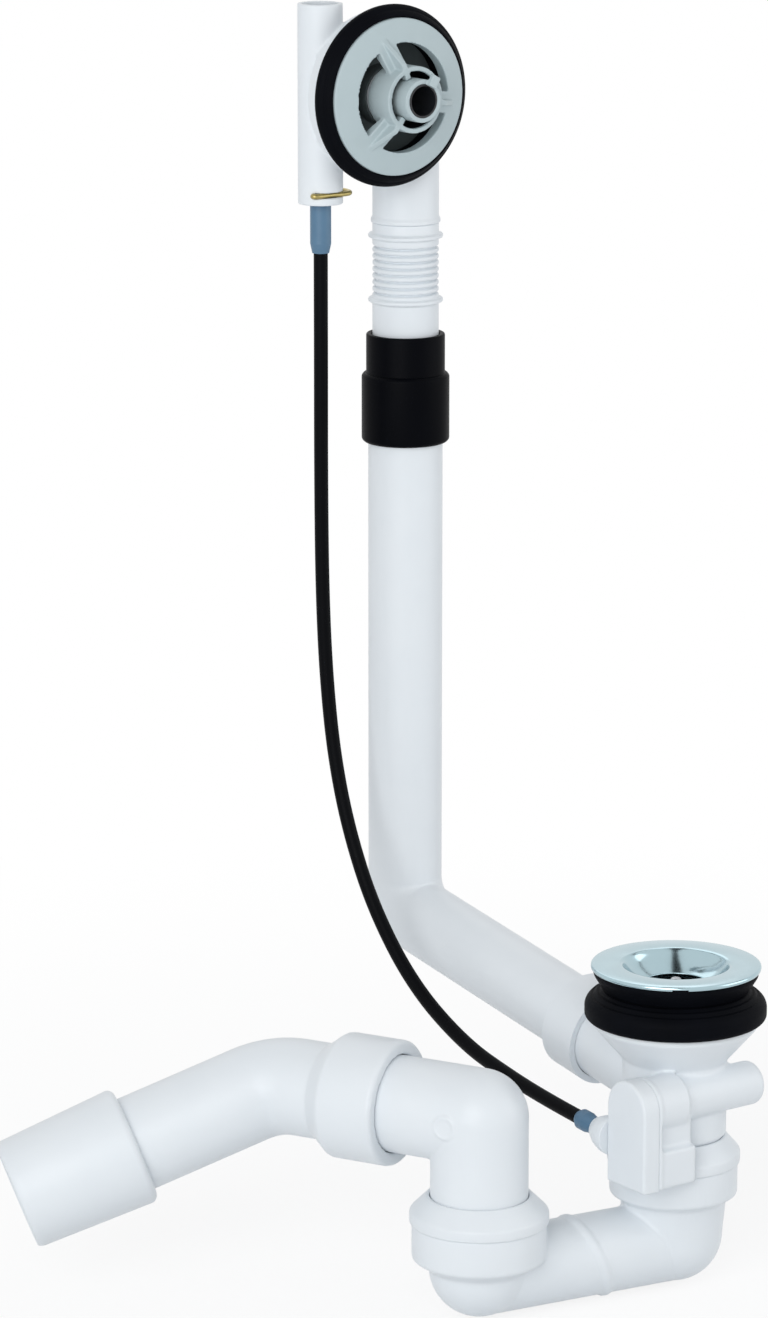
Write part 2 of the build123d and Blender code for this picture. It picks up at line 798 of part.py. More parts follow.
plate_radius = plate_diameter / 2
plate_bore = post_radius + thread_fit
cone_front = head_front - plate_rise
cone_slope = plate_rise / (plate_radius - hub_ring_radius)
rib_foot = (plate_radius - rib_reach) * cone_slope - plate_thickness / 2
with BuildPart() as overflow_plate:
    turn(
        head_axis,
        (plate_bore, hub_front),
        (hub_ring_radius, hub_front),
        (hub_ring_radius, cone_front),
        (plate_radius, head_front),
        (plate_radius, plate_back),
        (head_gasket_bore / 2, plate_back),
        (hub_ring_radius, cone_front + plate_thickness),
        (hub_ring_radius, plate_back),
        (plate_bore, plate_back),
    )
    plate_rim = overflow_plate.edges().filter_by(GeomType.CIRCLE).group_by(SortBy.RADIUS)[-1].sort_by(Axis.Y)[0]
    fillet(plate_rim, plate_edge)
    with BuildSketch(head_plane(cone_front)):
        Circle(window_diameter / 2)
        Circle(hub_ring_radius, mode=Mode.SUBTRACT)
        with PolarLocations(window_diameter / 4, rib_count, start_angle=rib_angle):
            Rectangle(window_diameter / 2, window_spoke, mode=Mode.SUBTRACT)
    extrude(amount=-plate_rise - plate_thickness, mode=Mode.SUBTRACT)
    for number in range(rib_count):
        rib_turn = radians(rib_angle + number * 360 / rib_count)
        rib_along = Vector(cos(rib_turn), 0, sin(rib_turn))
        rib_across = rib_along.cross(Vector(0, -1, 0))
        with BuildSketch(Plane((head_x, head_front, head_z), x_dir=rib_along, z_dir=rib_across)):
            with BuildLine():
                Polyline(
                    (hub_ring_radius - hub_ring_wall / 2, plate_rise - plate_thickness / 2),
                    (rib_reach, rib_foot),
                    (hub_ring_radius + rib_thickness, hub_ring_reach),
                    (hub_ring_radius - hub_ring_wall / 2, hub_ring_reach),
                    close=True,
                )
            make_face()
            with BuildLine():
                Polyline(
                    (sleeve_diameter / 2 + socket_fit, hub_ring_reach),
                    (hub_ring_radius - hub_ring_wall / 2, hub_ring_reach),
                    (hub_ring_radius - hub_ring_wall / 2, hub_ring_reach - lug_depth),
                    (sleeve_diameter / 2 + socket_fit, hub_ring_reach - lug_depth),
                    close=True,
                )
            make_face()
        extrude(amount=rib_thickness / 2, both=True)
save(overflow_plate, "overflow_plate")

# Overflow body: pan, post, spigot, gear case and rack tube
gear_start = pan_back + gear_front_gap
gear_end = gear_start + gear_width
case_depth = gear_end + gear_rear_gap
pitch_line = head_x - pitch_radius
tube_x = pitch_line - rack_offset
tube_y = gear_start + gear_width / 2
tube_bottom = head_z - tube_drop
tube_top = head_z + tube_reach
case_right = head_x + case_reach
lid_left = tube_x + lid_offset
tube_axis = axial_plane((tube_x, tube_y, 0), (0, 0, 1), (1, 0, 0))
tube_radius = tube_diameter / 2
tube_bore = tube_radius - tube_wall
gear_tip = pitch_radius + gear_module
gear_root = pitch_radius - gear_dedendum * gear_module
case_half = gear_tip + case_room
slot_width = gear_width + 2 * slot_play
rack_rest = head_z - rack_travel / 2
tooth_pitch = pi * gear_module
rack_half = rack_teeth * tooth_pitch / 2
slot_bottom = rack_rest - rack_half - slot_play
slot_right = pitch_line + gear_module + slot_play
spigot_top = head_z + spigot_radius / 2
case_top = rack_rest + rack_half + rack_travel + slot_play + case_wall
case_bottom = slot_bottom - case_wall
window_left = head_x + sleeve_diameter / 2 + post_wall + case_wall


# Lid screws, seen from the front about the head's axis
screw_left = slot_right + screw_inset - head_x
screw_right = case_right - screw_inset / 2 - head_x
screw_level = case_top - screw_inset - head_z
screw_spots = [(x, z) for x in (screw_left, screw_right) for z in (-screw_level, screw_level)]

with BuildPart() as overflow_body:
    rod(head_axis, pan_diameter / 2, pan_front, pan_back)
    rod(riser_axis, spigot_radius, spigot_bottom, spigot_top)
    rod(riser_axis, spigot_lip_diameter / 2, spigot_bottom, spigot_bottom + spigot_lip_height)
    with BuildSketch(Plane.XZ.offset(-pan_back)):
        with Locations(((tube_x + case_right + case_wall) / 2, (case_bottom + case_top) / 2)):
            RectangleRounded(case_right + case_wall - tube_x, case_top - case_bottom, case_corner)
    extrude(amount=-(case_depth - pan_back))
    rod(tube_axis, tube_radius, tube_bottom, tube_top)
    rod(head_axis, pan_diameter / 2 - pan_rim, pan_front - pan_depth, pan_floor, mode=Mode.SUBTRACT)
    rod(head_axis, post_radius, post_front, pan_floor)
    rod(head_axis, post_bore, post_front, pan_floor, mode=Mode.SUBTRACT)
    rod(head_axis, shaft_diameter / 2 + running_fit, pan_floor, pan_back, mode=Mode.SUBTRACT)
    with BuildSketch(head_plane(case_depth)):
        Circle(case_half)
        with Locations((case_right - head_x, 0)):
            Rectangle(2 * case_half, 2 * case_half, align=(Align.MIN, Align.CENTER), mode=Mode.SUBTRACT)
    extrude(amount=case_depth - pan_back, mode=Mode.SUBTRACT)
    rod(tube_axis, tube_bore, tube_bottom, tube_top, mode=Mode.SUBTRACT)
    block(
        tube_x,
        slot_right,
        tube_y - slot_width / 2,
        tube_y + slot_width / 2,
        slot_bottom,
        tube_top,
        mode=Mode.SUBTRACT,
    )
    rod(riser_axis, spigot_bore, spigot_bottom, spigot_top - spigot_wall, mode=Mode.SUBTRACT)
    block(
        window_left,
        spigot_bore / 2,
        pan_floor,
        riser_distance,
        head_z - spigot_radius,
        spigot_top - spigot_wall,
        mode=Mode.SUBTRACT,
    )
    for side in (-1, 1):
        with Locations((tube_x, tube_y + side * (clip_half_span + clip_wire), tube_bottom + clip_height)):
            Box(
                tube_diameter,
                3 * clip_wire + 2 * clip_room,
                clip_wire + 2 * running_fit,
                mode=Mode.SUBTRACT,
            )
    with BuildSketch(head_plane(case_depth)):
        with Locations(*screw_spots):
            Circle(screw_diameter / 2 + seat_fit)
    extrude(amount=screw_length, mode=Mode.SUBTRACT)
save(overflow_body, "overflow_body")

# Gasket that takes in the plate's edge and lines the pan, with an opening to the spigot
gasket_rim = head_gasket_diameter / 2
gasket_seat = plate_radius + socket_fit
gasket_face = plate_radius + plate_edge
lining_radius = pan_diameter / 2 - pan_rim - socket_fit
with BuildPart() as overflow_gasket:
    turn(
        head_axis,
        (head_gasket_bore / 2, plate_back),
        (gasket_seat, plate_back),
        (gasket_seat, head_front + plate_edge),
        (gasket_face, head_front + plate_edge),
        (gasket_rim, plate_back + head_gasket_bevel),
        (gasket_rim, pan_front - head_gasket_bevel),
        (pan_diameter / 2, pan_front),
        (lining_radius, pan_front),
        (lining_radius, pan_floor),
        (post_radius + socket_fit, pan_floor),
        (post_radius + socket_fit, pan_floor - lining),
        (lining_radius - lining, pan_floor - lining),
        (lining_radius - lining, pan_front),
        (head_gasket_bore / 2, pan_front),
    )
    block(
        window_left,
        spigot_bore / 2,
        pan_floor - lining,
        pan_floor,
        head_z - spigot_radius,
        spigot_top - spigot_wall,
        mode=Mode.SUBTRACT,
    )
save(overflow_gasket, "overflow_gasket")

# Lid of the gear case, with the blind bearing of the hub's trunnion
lid_back = case_depth + lid_thickness
bearing_depth = lid_thickness - lid_floor
trunnion_bore = trunnion_diameter / 2 + running_fit
with BuildPart() as gear_cover:
    with BuildSketch(head_plane(case_depth)):
        lid_width = case_right + case_wall / 2 - lid_left
        with Locations((lid_left + lid_width / 2 - head_x, (case_top + case_bottom) / 2 - head_z)):
            RectangleRounded(lid_width, case_top - case_bottom, case_corner)
    extrude(amount=-lid_thickness)
    lid_rim = gear_cover.faces().sort_by(Axis.Y)[-1].edges()
    chamfer(lid_rim, lid_thickness / 4)
    rod(head_axis, trunnion_bore, case_depth, case_depth + bearing_depth, mode=Mode.SUBTRACT)
    with BuildSketch(head_plane(case_depth)):
        with Locations(*screw_spots):
            Circle(screw_diameter / 2 + seat_fit)
    extrude(amount=-lid_thickness, mode=Mode.SUBTRACT)
save(gear_cover, "gear_cover")

with BuildPart() as cover_screws:
    with BuildSketch(head_plane(lid_back)):
        with Locations(*screw_spots):
            Circle(screw_head_diameter / 2)
    extrude(amount=-screw_head_height)
    with BuildSketch(head_plane(lid_back)):
        with Locations(*screw_spots):
            Circle(screw_diameter / 2)
    extrude(amount=screw_length)
save(cover_screws, "cover_screws")

# Drive hub: sleeve for the knob, shaft through the pan, square for the sector and trunnion
sleeve_front = head_front - sleeve_reach
sleeve_radius = sleeve_diameter / 2
liner_radius = sleeve_bore / 2 + liner_wall
ring_front = pan_floor - head_ring_section - 2 * running_fit
trunnion_end = case_depth + bearing_depth - running_fit
with BuildPart() as drive_hub:
    turn(
        head_axis,
        (0, sleeve_front + sleeve_bore_depth),
        (liner_radius + seat_fit, sleeve_front + sleeve_bore_depth),
        (liner_radius + seat_fit, sleeve_front),
        (sleeve_radius, sleeve_front),
        (sleeve_radius, ring_front),
        (shaft_diameter / 2, ring_front),
        (shaft_diameter / 2, gear_start),
        (0, gear_start),
    )
    with BuildSketch(head_plane(sleeve_front)):
        with PolarLocations(sleeve_radius, 1, start_angle=key_angle):
            Rectangle(2 * key_length, key_width)
    extrude(amount=key_length)
    with BuildSketch(head_plane(gear_start)):
        Rectangle(shaft_square, shaft_square)
    extrude(amount=-gear_width)
    rod(head_axis, trunnion_diameter / 2, gear_end, trunnion_end)
save(drive_hub, "drive_hub")

# Dark liner that the knob's stem slides in
with BuildPart() as hub_liner:
    turn(
        head_axis,
        (sleeve_bore / 2, sleeve_front),
        (liner_radius, sleeve_front),
        (liner_radius, sleeve_front + sleeve_bore_depth),
        (sleeve_bore / 2, sleeve_front + sleeve_bore_depth),
    )
save(hub_liner, "hub_liner")

with BuildPart() as hub_seal:
    ring_middle = ring_front + running_fit + head_ring_section / 2
    o_ring(head_axis, shaft_diameter / 2 + seat_fit, head_ring_section, ring_middle)
save(hub_seal, "hub_seal")

# Toothed sector with involute flanks, drawn at rest half a swing below the rack's middle
base_radius = pitch_radius * cos(radians(pressure_angle))


def involute(angle):
    return tan(angle) - angle


def tooth_half_angle(radius):
    # Half the angle that a tooth spans at a radius, in radians.
    at_pitch = (tooth_pitch / 4 - flank_relief) / pitch_radius
    flank = atan2((max(radius, base_radius) ** 2 - base_radius**2) ** 0.5, base_radius)
    return at_pitch + involute(radians(pressure_angle)) - involute(flank)


flank_radii = (gear_root - flank_relief, base_radius, pitch_radius, gear_tip)
rest_turn = radians(hub_swing / 2)
sector_plane = Plane(
    (head_x, gear_start, head_z),
    x_dir=(-cos(rest_turn), 0, -sin(rest_turn)),
    z_dir=(0, 1, 0),
)
with BuildPart() as gear_sector:
    with BuildSketch(sector_plane):
        Circle(gear_root)
        with BuildLine():
            wedge = 2 * gear_tip
            wedge_x = wedge * cos(radians(sector_half_angle))
            wedge_y = wedge * sin(radians(sector_half_angle))
            Polyline((0, 0), (wedge_x, wedge_y), (wedge_x, -wedge_y), close=True)
        make_face(mode=Mode.INTERSECT)
        Circle(gear_hub_diameter / 2)
        for number in range(sector_teeth):
            middle = (number - (sector_teeth - 1) / 2) * 2 * pi / gear_teeth
            flank_points = [(r, middle - tooth_half_angle(r)) for r in flank_radii]
            flank_points += [(r, middle + tooth_half_angle(r)) for r in reversed(flank_radii)]
            with BuildLine():
                Polyline(*[(r * cos(a), r * sin(a)) for r, a in flank_points], close=True)
            make_face()
    extrude(amount=gear_width)
    with BuildSketch(head_plane(gear_start)):
        Rectangle(shaft_square + 2 * seat_fit, shaft_square + 2 * seat_fit)
    extrude(amount=-gear_width, mode=Mode.SUBTRACT)
save(gear_sector, "gear_sector")

# Rack: round rod in the tube with a toothed rib towards the sector
rack_bottom = rack_rest - rack_below
rack_root = pitch_line - gear_dedendum * gear_module
rack_tip = pitch_line + gear_module
flank_slope = tan(radians(pressure_angle))
root_half = tooth_pitch / 4 + gear_dedendum * gear_module * flank_slope - flank_relief
tip_half = tooth_pitch / 4 - gear_module * flank_slope - flank_relief
with BuildPart() as rack:
    rod(tube_axis, tube_bore - rack_fit, rack_bottom, rack_rest + rack_above)
    with BuildSketch(Plane.XZ.offset(-tube_y)):
        with BuildLine():
            Polyline(
                (tube_x, rack_rest - rack_half),
                (rack_root, rack_rest - rack_half),
                (rack_root, rack_rest + rack_half),
                (tube_x, rack_rest + rack_half),
                close=True,
            )
        make_face()
        for number in range(rack_teeth):
            level = rack_rest + (number - (rack_teeth - 1) / 2) * tooth_pitch
            with BuildLine():
                Polyline(
                    (rack_root - flank_relief, level - root_half),
                    (rack_root, level - root_half),
                    (rack_tip, level - tip_half),
                    (rack_tip, level + tip_half),
                    (rack_root, level + root_half),
                    (rack_root - flank_relief, level + root_half),
                    close=True,
                )
            make_face()
    extrude(amount=gear_width / 2, both=True)
    rod(tube_axis, nipple_diameter / 2 + seat_fit, rack_bottom, rack_bottom + nipple_height, mode=Mode.SUBTRACT)
save(rack, "rack")

# End of the cable's core with its nipple, which the rack pulls
collar_top = tube_bottom + ferrule_collar_length
with BuildPart() as pull_wire:
    rod(tube_axis, core_diameter / 2, collar_top - core_in_ferrule, rack_bottom + nipple_height)
    rod(tube_axis, nipple_diameter / 2, rack_bottom, rack_bottom + nipple_height)
save(pull_wire, "pull_wire")

# Ferrule on the cable's upper end, held in the tube by a wire clip
clip_level = tube_bottom + clip_height
clip_half = clip_wire / 2 + running_fit
collar_radius = tube_bore - running_fit
clip_neck = clip_half_span - clip_half
cable_top = tube_bottom - ferrule_length
with BuildPart() as upper_ferrule:
    turn(
        tube_axis,
        (core_diameter / 2 + core_play, cable_top),
        (ferrule_tip_diameter / 2, cable_top),
        (ferrule_diameter / 2, cable_top + ferrule_tip),
        (ferrule_diameter / 2, tube_bottom),
        (collar_radius, tube_bottom),
        (collar_radius, clip_level - clip_half),
        (clip_neck, clip_level - clip_half),
        (clip_neck, clip_level + clip_half),
        (collar_radius, clip_level + clip_half),
        (collar_radius, collar_top),
        (core_diameter / 2 + core_play, collar_top),
    )
save(upper_ferrule, "upper_ferrule")

clip_left = tube_x - clip_leg_front
clip_back = tube_x - clip_leg_back
clip_right = tube_x + clip_leg_right
with BuildPart() as retaining_clip:
    with BuildLine() as clip_route:
        Line((clip_left, tube_y - clip_half_span, clip_level), (clip_right, tube_y - clip_half_span, clip_level))
        ThreePointArc(
            (clip_right, tube_y - clip_half_span, clip_level),
            (clip_right + clip_half_span, tube_y, clip_level),
            (clip_right, tube_y + clip_half_span, clip_level),
        )
        Line((clip_right, tube_y + clip_half_span, clip_level), (clip_back, tube_y + clip_half_span, clip_level))
    with BuildSketch(Plane((clip_left, tube_y - clip_half_span, clip_level), z_dir=(1, 0, 0))):
        Circle(clip_wire / 2)
    sweep(path=clip_route.wires()[0])
save(retaining_clip, "retaining_clip")

# Cable from the upper ferrule to the lower one, in runs joined by tangent arcs
cable_start = Vector(tube_x, tube_y, cable_top)
cable_end = Vector(gland_x, gland_y, gland_z) + Vector(*gland_along) * lower_ferrule_end
cable_route = [
    cable_start,
    Vector(tube_x, tube_y, 237),
    Vector(-44.3, 188.6, 183),
    Vector(-43.0, 189.8, 132),
    Vector(-41.9, 188.6, 93),
    Vector(-40.9, 184.0, 57),
    Vector(-40.0, 173.9, 25),
    Vector(-39.1, 156.8, -5.5),
    Vector(-38.2, 129.8, -32.6),
    Vector(-37.3, 95.0, -49.8),
    Vector(-36.6, 62.8, -56.4),
    cable_end + Vector(*gland_along) * cable_lead,
    cable_end,
]
cable_radii = []
for before, corner, after in zip(cable_route, cable_route[1:], cable_route[2:]):
    arriving = corner - before
    leaving = after - corner
    half_turn = radians(arriving.get_angle(leaving)) / 2
    cable_radii.append(cable_arc_share * min(arriving.length, leaving.length) / tan(half_turn))
print("cable radii", [round(r) for r in cable_radii])
with BuildPart() as bowden_cable:
    with BuildLine() as cable_line:
        FilletPolyline(*cable_route, radius=cable_radii)
    with BuildSketch(Plane(cable_start, z_dir=(0, 0, -1))):
        Circle(cable_diameter / 2)
    sweep(path=cable_line.wires()[0])
cable_length = cable_line.wires()[0].length
print("cable length", round(cable_length, 1))
print("cable volume share", round(bowden_cable.part.volume / (pi * cable_diameter**2 / 4 * cable_length), 4))
save(bowden_cable, "bowden_cable")

# Trap: U-bend with a socket on each leg
inlet_cap_top = spigot_start - inlet_cap_gap
inlet_collar_bottom = inlet_cap_top - inlet_collar_height
outlet_cap_top = trap_bottom + outlet_leg_height
outlet_collar_bottom = outlet_cap_top - outlet_collar_height
outlet_height = outlet_cap_top + outlet_rise
trap_turn = radians(trap_azimuth)
trap_along = (cos(trap_turn), sin(trap_turn), 0)
leg_place = (trap_span * trap_along[0], trap_span * trap_along[1], 0)
outlet_leg_axis = axial_plane(leg_place, (0, 0, 1), (1, 0, 0))
corner_radius = corner_diameter / 2
corner_level = trap_bottom + corner_radius
corner_bore = corner_radius - trap_wall
u_tube_radius = tube_od / 2
u_tube_level = trap_bottom + u_tube_radius
u_tube_axis = axial_plane((0, 0, u_tube_level), trap_along, (0, 0, 1))
spigot_outer = body_spigot_diameter / 2
outlet_radius = outlet_diameter / 2
elbow_end = outlet_cap_top - elbow_insert


def trap_socket(plane, collar, cap_top, collar_bottom, waist):
    # Outside of a leg with its socket.
    collar_head = cap_top - cap_cone_height
    skirt_bottom = collar_head - cap_skirt
    neck = collar + cap_proud - cap_wall - seat_fit
    turn(
        plane,
        (0, corner_level),
        (corner_radius, corner_level),
        *waist,
        (collar, collar_bottom),
        (collar, skirt_bottom),
        (neck, skirt_bottom),
        (neck, collar_head),
        (0, collar_head),
    )


def trap_bore(plane, spigot, cap_top, floor):
    # Seal seat, socket and waterway of a leg.
    collar_head = cap_top - cap_cone_height
    rod(plane, spigot + lip_seal_depth, collar_head - lip_seal_height, collar_head, mode=Mode.SUBTRACT)
    rod(plane, spigot + socket_fit, floor, collar_head, mode=Mode.SUBTRACT)
    rod(plane, corner_bore, corner_level, floor, mode=Mode.SUBTRACT)


def cap_ring(plane, spigot, collar, cap_top):
    # Conical ring that holds a lip seal in its socket.
    collar_head = cap_top - cap_cone_height
    turn(
        plane,
        (spigot + socket_fit, cap_top),
        (spigot + socket_fit + cap_top_wall, cap_top),
        (collar + cap_proud, collar_head),
        (collar + cap_proud, collar_head - cap_skirt),
        (collar + cap_proud - cap_wall, collar_head - cap_skirt),
        (collar + cap_proud - cap_wall, collar_head),
        (spigot + socket_fit, collar_head),
    )


def lip_seal(plane, spigot, cap_top):
    collar_head = cap_top - cap_cone_height
    turn(
        plane,
        (spigot + seal_fit, collar_head),
        (spigot + lip_seal_depth - seat_fit, collar_head),
        (spigot + lip_seal_depth - seat_fit, collar_head - lip_seal_height),
        (spigot + lip_seal_depth / 2, collar_head - lip_seal_height),
        (spigot + seal_fit, collar_head - lip_seal_height / 2),
    )


outlet_collar_diameter = 2 * (outlet_radius + outlet_collar_wall)
outlet_collar = outlet_collar_diameter / 2
lean = radians(seam_lean)
seam_along = Vector(*trap_along) * cos(lean) - Vector(0, 0, sin(lean))
seam_across = Vector(*trap_along) * sin(lean) + Vector(0, 0, cos(lean))
seam_middle = Vector(*trap_along) * seam_distance + Vector(0, 0, u_tube_level)
with BuildPart() as tube_seam:
    rod(u_tube_axis, u_tube_radius + seam_height, 0, trap_span)
    seam_axis = axial_plane(seam_middle, seam_along, seam_across)
    rod(seam_axis, tube_od, -seam_width / 2, seam_width / 2, mode=Mode.INTERSECT)
with BuildPart() as u_bend:
    inlet_waist = [(leg_diameter / 2, inlet_collar_bottom - inlet_collar_cone)]
    inlet_floor = spigot_end - socket_floor
    outlet_floor = elbow_end - socket_floor
    trap_socket(waste_axis, inlet_collar, inlet_cap_top, inlet_collar_bottom, inlet_waist)
    trap_socket(outlet_leg_axis, outlet_collar, outlet_cap_top, outlet_collar_bottom, [])
    corner_spots = [(0, 0, corner_level), (leg_place[0], leg_place[1], corner_level)]
    with Locations(*corner_spots):
        Sphere(corner_radius)
    rod(u_tube_axis, u_tube_radius, 0, trap_span)
    add(tube_seam.part)
    trap_bore(waste_axis, spigot_outer, inlet_cap_top, inlet_floor)
    trap_bore(outlet_leg_axis, outlet_radius, outlet_cap_top, outlet_floor)
    with Locations(*corner_spots):
        Sphere(corner_bore, mode=Mode.SUBTRACT)
    rod(u_tube_axis, u_tube_radius - trap_wall, 0, trap_span, mode=Mode.SUBTRACT)
save(u_bend, "u_bend")

with BuildPart() as inlet_cap_ring:
    cap_ring(waste_axis, spigot_outer, inlet_collar, inlet_cap_top)
save(inlet_cap_ring, "inlet_cap_ring")

with BuildPart() as inlet_lip_seal:
    lip_seal(waste_axis, spigot_outer, inlet_cap_top)
save(inlet_lip_seal, "inlet_lip_seal")

with BuildPart() as outlet_cap_ring:
    cap_ring(outlet_leg_axis, outlet_radius, outlet_collar, outlet_cap_top)
save(outlet_cap_ring, "outlet_cap_ring")

with BuildPart() as outlet_lip_seal:
    lip_seal(outlet_leg_axis, outlet_radius, outlet_cap_top)
save(outlet_lip_seal, "outlet_lip_seal")

# Outlet elbow, turned towards the wall
outlet_turn = radians(outlet_azimuth)
outlet_along = Vector(cos(outlet_turn), sin(outlet_turn), 0)
outlet_side = Vector(-sin(outlet_turn), cos(outlet_turn), 0)
elbow_corner = Vector(leg_place[0], leg_place[1], outlet_height)
outlet_axis = axial_plane(elbow_corner, outlet_along, (0, 0, 1))
outlet_bore_radius = outlet_radius - outlet_wall
with BuildPart() as outlet_elbow:
    rod(outlet_leg_axis, outlet_radius, elbow_end, outlet_height)
    with Locations(elbow_corner):
        Sphere(outlet_radius)
    rod(outlet_axis, outlet_radius, 0, elbow_reach)
    rod(outlet_leg_axis, outlet_bore_radius, elbow_end, outlet_height, mode=Mode.SUBTRACT)
    with Locations(elbow_corner):
        Sphere(outlet_bore_radius, mode=Mode.SUBTRACT)
    rod(outlet_axis, outlet_bore_radius, 0, elbow_reach, mode=Mode.SUBTRACT)
    gate_axis = axial_plane(elbow_corner + outlet_along * gate_distance, outlet_side, (0, 0, 1))
    rod(
        gate_axis,
        gate_mark_diameter / 2,
        outlet_radius - gate_mark_depth,
        outlet_radius + gate_mark_depth,
        mode=Mode.SUBTRACT,
    )
save(outlet_elbow, "outlet_elbow")

# 45 degree bend with its socket, rolled so that the tail falls
roll = radians(bend_roll)
fall_side = outlet_side * cos(roll) - Vector(0, 0, sin(roll))
tail_along = outlet_along * cos(radians(bend_angle)) + fall_side * sin(radians(bend_angle))
tail_across = fall_side * cos(radians(bend_angle)) - outlet_along * sin(radians(bend_angle))
bend_vertex = elbow_reach + bend_lead
bend_corner = elbow_corner + outlet_along * bend_vertex
tail_axis = axial_plane(bend_corner, tail_along, tail_across)
bend_mouth = elbow_reach - bend_grip
bend_shoulder = bend_mouth + bend_collar_length
bend_ring_section = lip_seal_depth - seal_fit
bend_ring_place = bend_mouth + lip_seal_height


def bend_sweep(radius, start, mode=Mode.ADD):
    first = elbow_corner + outlet_along * start
    with BuildLine() as route:
        FilletPolyline(first, bend_corner, bend_corner + tail_along * tail_reach, radius=bend_radius)
    with BuildSketch(Plane(first, x_dir=(0, 0, 1), z_dir=outlet_along)) as section:
        Circle(radius)
    sweep(section.sketch, path=route.wires()[0], mode=mode)


with BuildPart() as bend_45:
    bend_sweep(outlet_radius, bend_shoulder)
    turn(
        outlet_axis,
        (0, bend_mouth),
        (bend_collar_diameter / 2 - bend_collar_edge, bend_mouth),
        (bend_collar_diameter / 2, bend_mouth + bend_collar_edge),
        (bend_collar_diameter / 2, bend_shoulder),
        (outlet_radius, bend_shoulder + bend_collar_cone),
        (0, bend_shoulder + bend_collar_cone),
    )
    bend_sweep(outlet_bore_radius, elbow_reach, mode=Mode.SUBTRACT)
    rod(outlet_axis, outlet_radius + socket_fit, bend_mouth, elbow_reach + socket_floor, mode=Mode.SUBTRACT)
    groove = bend_ring_section / 2 + running_fit
    rod(
        outlet_axis,
        outlet_radius + lip_seal_depth + running_fit,
        bend_ring_place - groove,
        bend_ring_place + groove,
        mode=Mode.SUBTRACT,
    )
save(bend_45, "bend_45")

with BuildPart() as bend_seal:
    o_ring(outlet_axis, outlet_radius + seal_fit, bend_ring_section, bend_ring_place)
save(bend_seal, "bend_seal")

# Sleeve that brings the tail to the larger drain size
sleeve_end = sleeve_start + end_sleeve_length
with BuildPart() as end_sleeve:
    turn(
        tail_axis,
        (outlet_radius + seat_fit, sleeve_start),
        (end_sleeve_large / 2 - end_sleeve_edge, sleeve_start),
        (end_sleeve_large / 2, sleeve_start + end_sleeve_edge),
        (end_sleeve_small / 2, sleeve_end - end_sleeve_edge),
        (end_sleeve_small / 2 - end_sleeve_edge / 2, sleeve_end),
        (end_sleeve_small / 2 - end_sleeve_wall, sleeve_end),
        (end_sleeve_small / 2 - end_sleeve_wall, sleeve_start + end_sleeve_grip),
        (outlet_radius + seat_fit, sleeve_start + end_sleeve_grip),
    )
save(end_sleeve, "end_sleeve")
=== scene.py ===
import bpy
import json
from math import cos, pi, radians, sin
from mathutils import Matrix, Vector
from mathutils.bvhtree import BVHTree


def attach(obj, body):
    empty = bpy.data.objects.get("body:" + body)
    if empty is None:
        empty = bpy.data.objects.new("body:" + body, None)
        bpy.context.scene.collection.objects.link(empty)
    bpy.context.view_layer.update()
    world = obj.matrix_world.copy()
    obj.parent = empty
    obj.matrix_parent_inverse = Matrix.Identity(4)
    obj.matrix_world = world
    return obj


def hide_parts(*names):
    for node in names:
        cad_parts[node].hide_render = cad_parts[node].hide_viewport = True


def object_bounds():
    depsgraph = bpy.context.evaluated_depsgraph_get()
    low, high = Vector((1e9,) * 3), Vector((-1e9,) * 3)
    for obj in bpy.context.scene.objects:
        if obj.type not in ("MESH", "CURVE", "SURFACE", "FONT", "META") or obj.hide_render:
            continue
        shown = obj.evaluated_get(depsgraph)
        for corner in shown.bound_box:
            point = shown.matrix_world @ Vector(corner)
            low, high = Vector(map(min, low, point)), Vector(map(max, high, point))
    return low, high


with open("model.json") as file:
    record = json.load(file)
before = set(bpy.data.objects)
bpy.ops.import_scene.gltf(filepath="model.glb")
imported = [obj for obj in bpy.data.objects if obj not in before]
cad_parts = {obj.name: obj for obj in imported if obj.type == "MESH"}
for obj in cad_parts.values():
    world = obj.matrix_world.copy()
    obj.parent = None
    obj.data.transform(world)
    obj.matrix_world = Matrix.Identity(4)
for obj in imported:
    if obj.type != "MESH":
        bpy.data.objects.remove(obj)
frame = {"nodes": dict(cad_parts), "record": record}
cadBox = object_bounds()
print("frame loaded with", len(frame["nodes"]), "nodes")

# Metres in a millimetre
mm = 0.001

# Camera at the photograph's viewing angle
viewpoint = {
    "place": (-1.3347, -1.6344, 0.6244), "turn": -35.98, "pitch": 13.2,
    "lens": 146.0, "sensor": 36.0, "farClip": 20.0}
cameraData = bpy.data.cameras.new("camera")
cameraData.sensor_fit = "VERTICAL"
cameraData.sensor_height = viewpoint["sensor"]
cameraData.lens = viewpoint["lens"]
cameraData.clip_end = viewpoint["farClip"]
camera = bpy.data.objects.new("camera", cameraData)
camera.location = viewpoint["place"]
camera.rotation_euler = (radians(90.0 - viewpoint["pitch"]), 0.0, radians(viewpoint["turn"]))
bpy.context.scene.collection.objects.link(camera)
bpy.context.scene.camera = camera
bpy.context.scene.view_settings.view_transform = "Standard"
print("camera placed")


def linearColour(hexText):
    # sRGB hex to the linear colour that the shader works in
    parts = [int(hexText[i:i + 2], 16) / 255.0 for i in (1, 3, 5)]
    linear = [c / 12.92 if c <= 0.04045 else ((c + 0.055) / 1.055) ** 2.4 for c in parts]
    return (*linear, 1.0)


def addNode(tree, kind, settings=None, inputs=None):
    node = tree.nodes.new(kind)
    for name, value in (settings or {}).items():
        setattr(node, name, value)
    for name, value in (inputs or {}).items():
        if isinstance(value, bpy.types.NodeSocket):
            tree.links.new(value, node.inputs[name])
        else:
            node.inputs[name].default_value = value
    return node


def newMaterial(name):
    material = bpy.data.materials.new(name)
    material.use_nodes = True
    tree = material.node_tree
    tree.nodes.clear()
    return material, tree


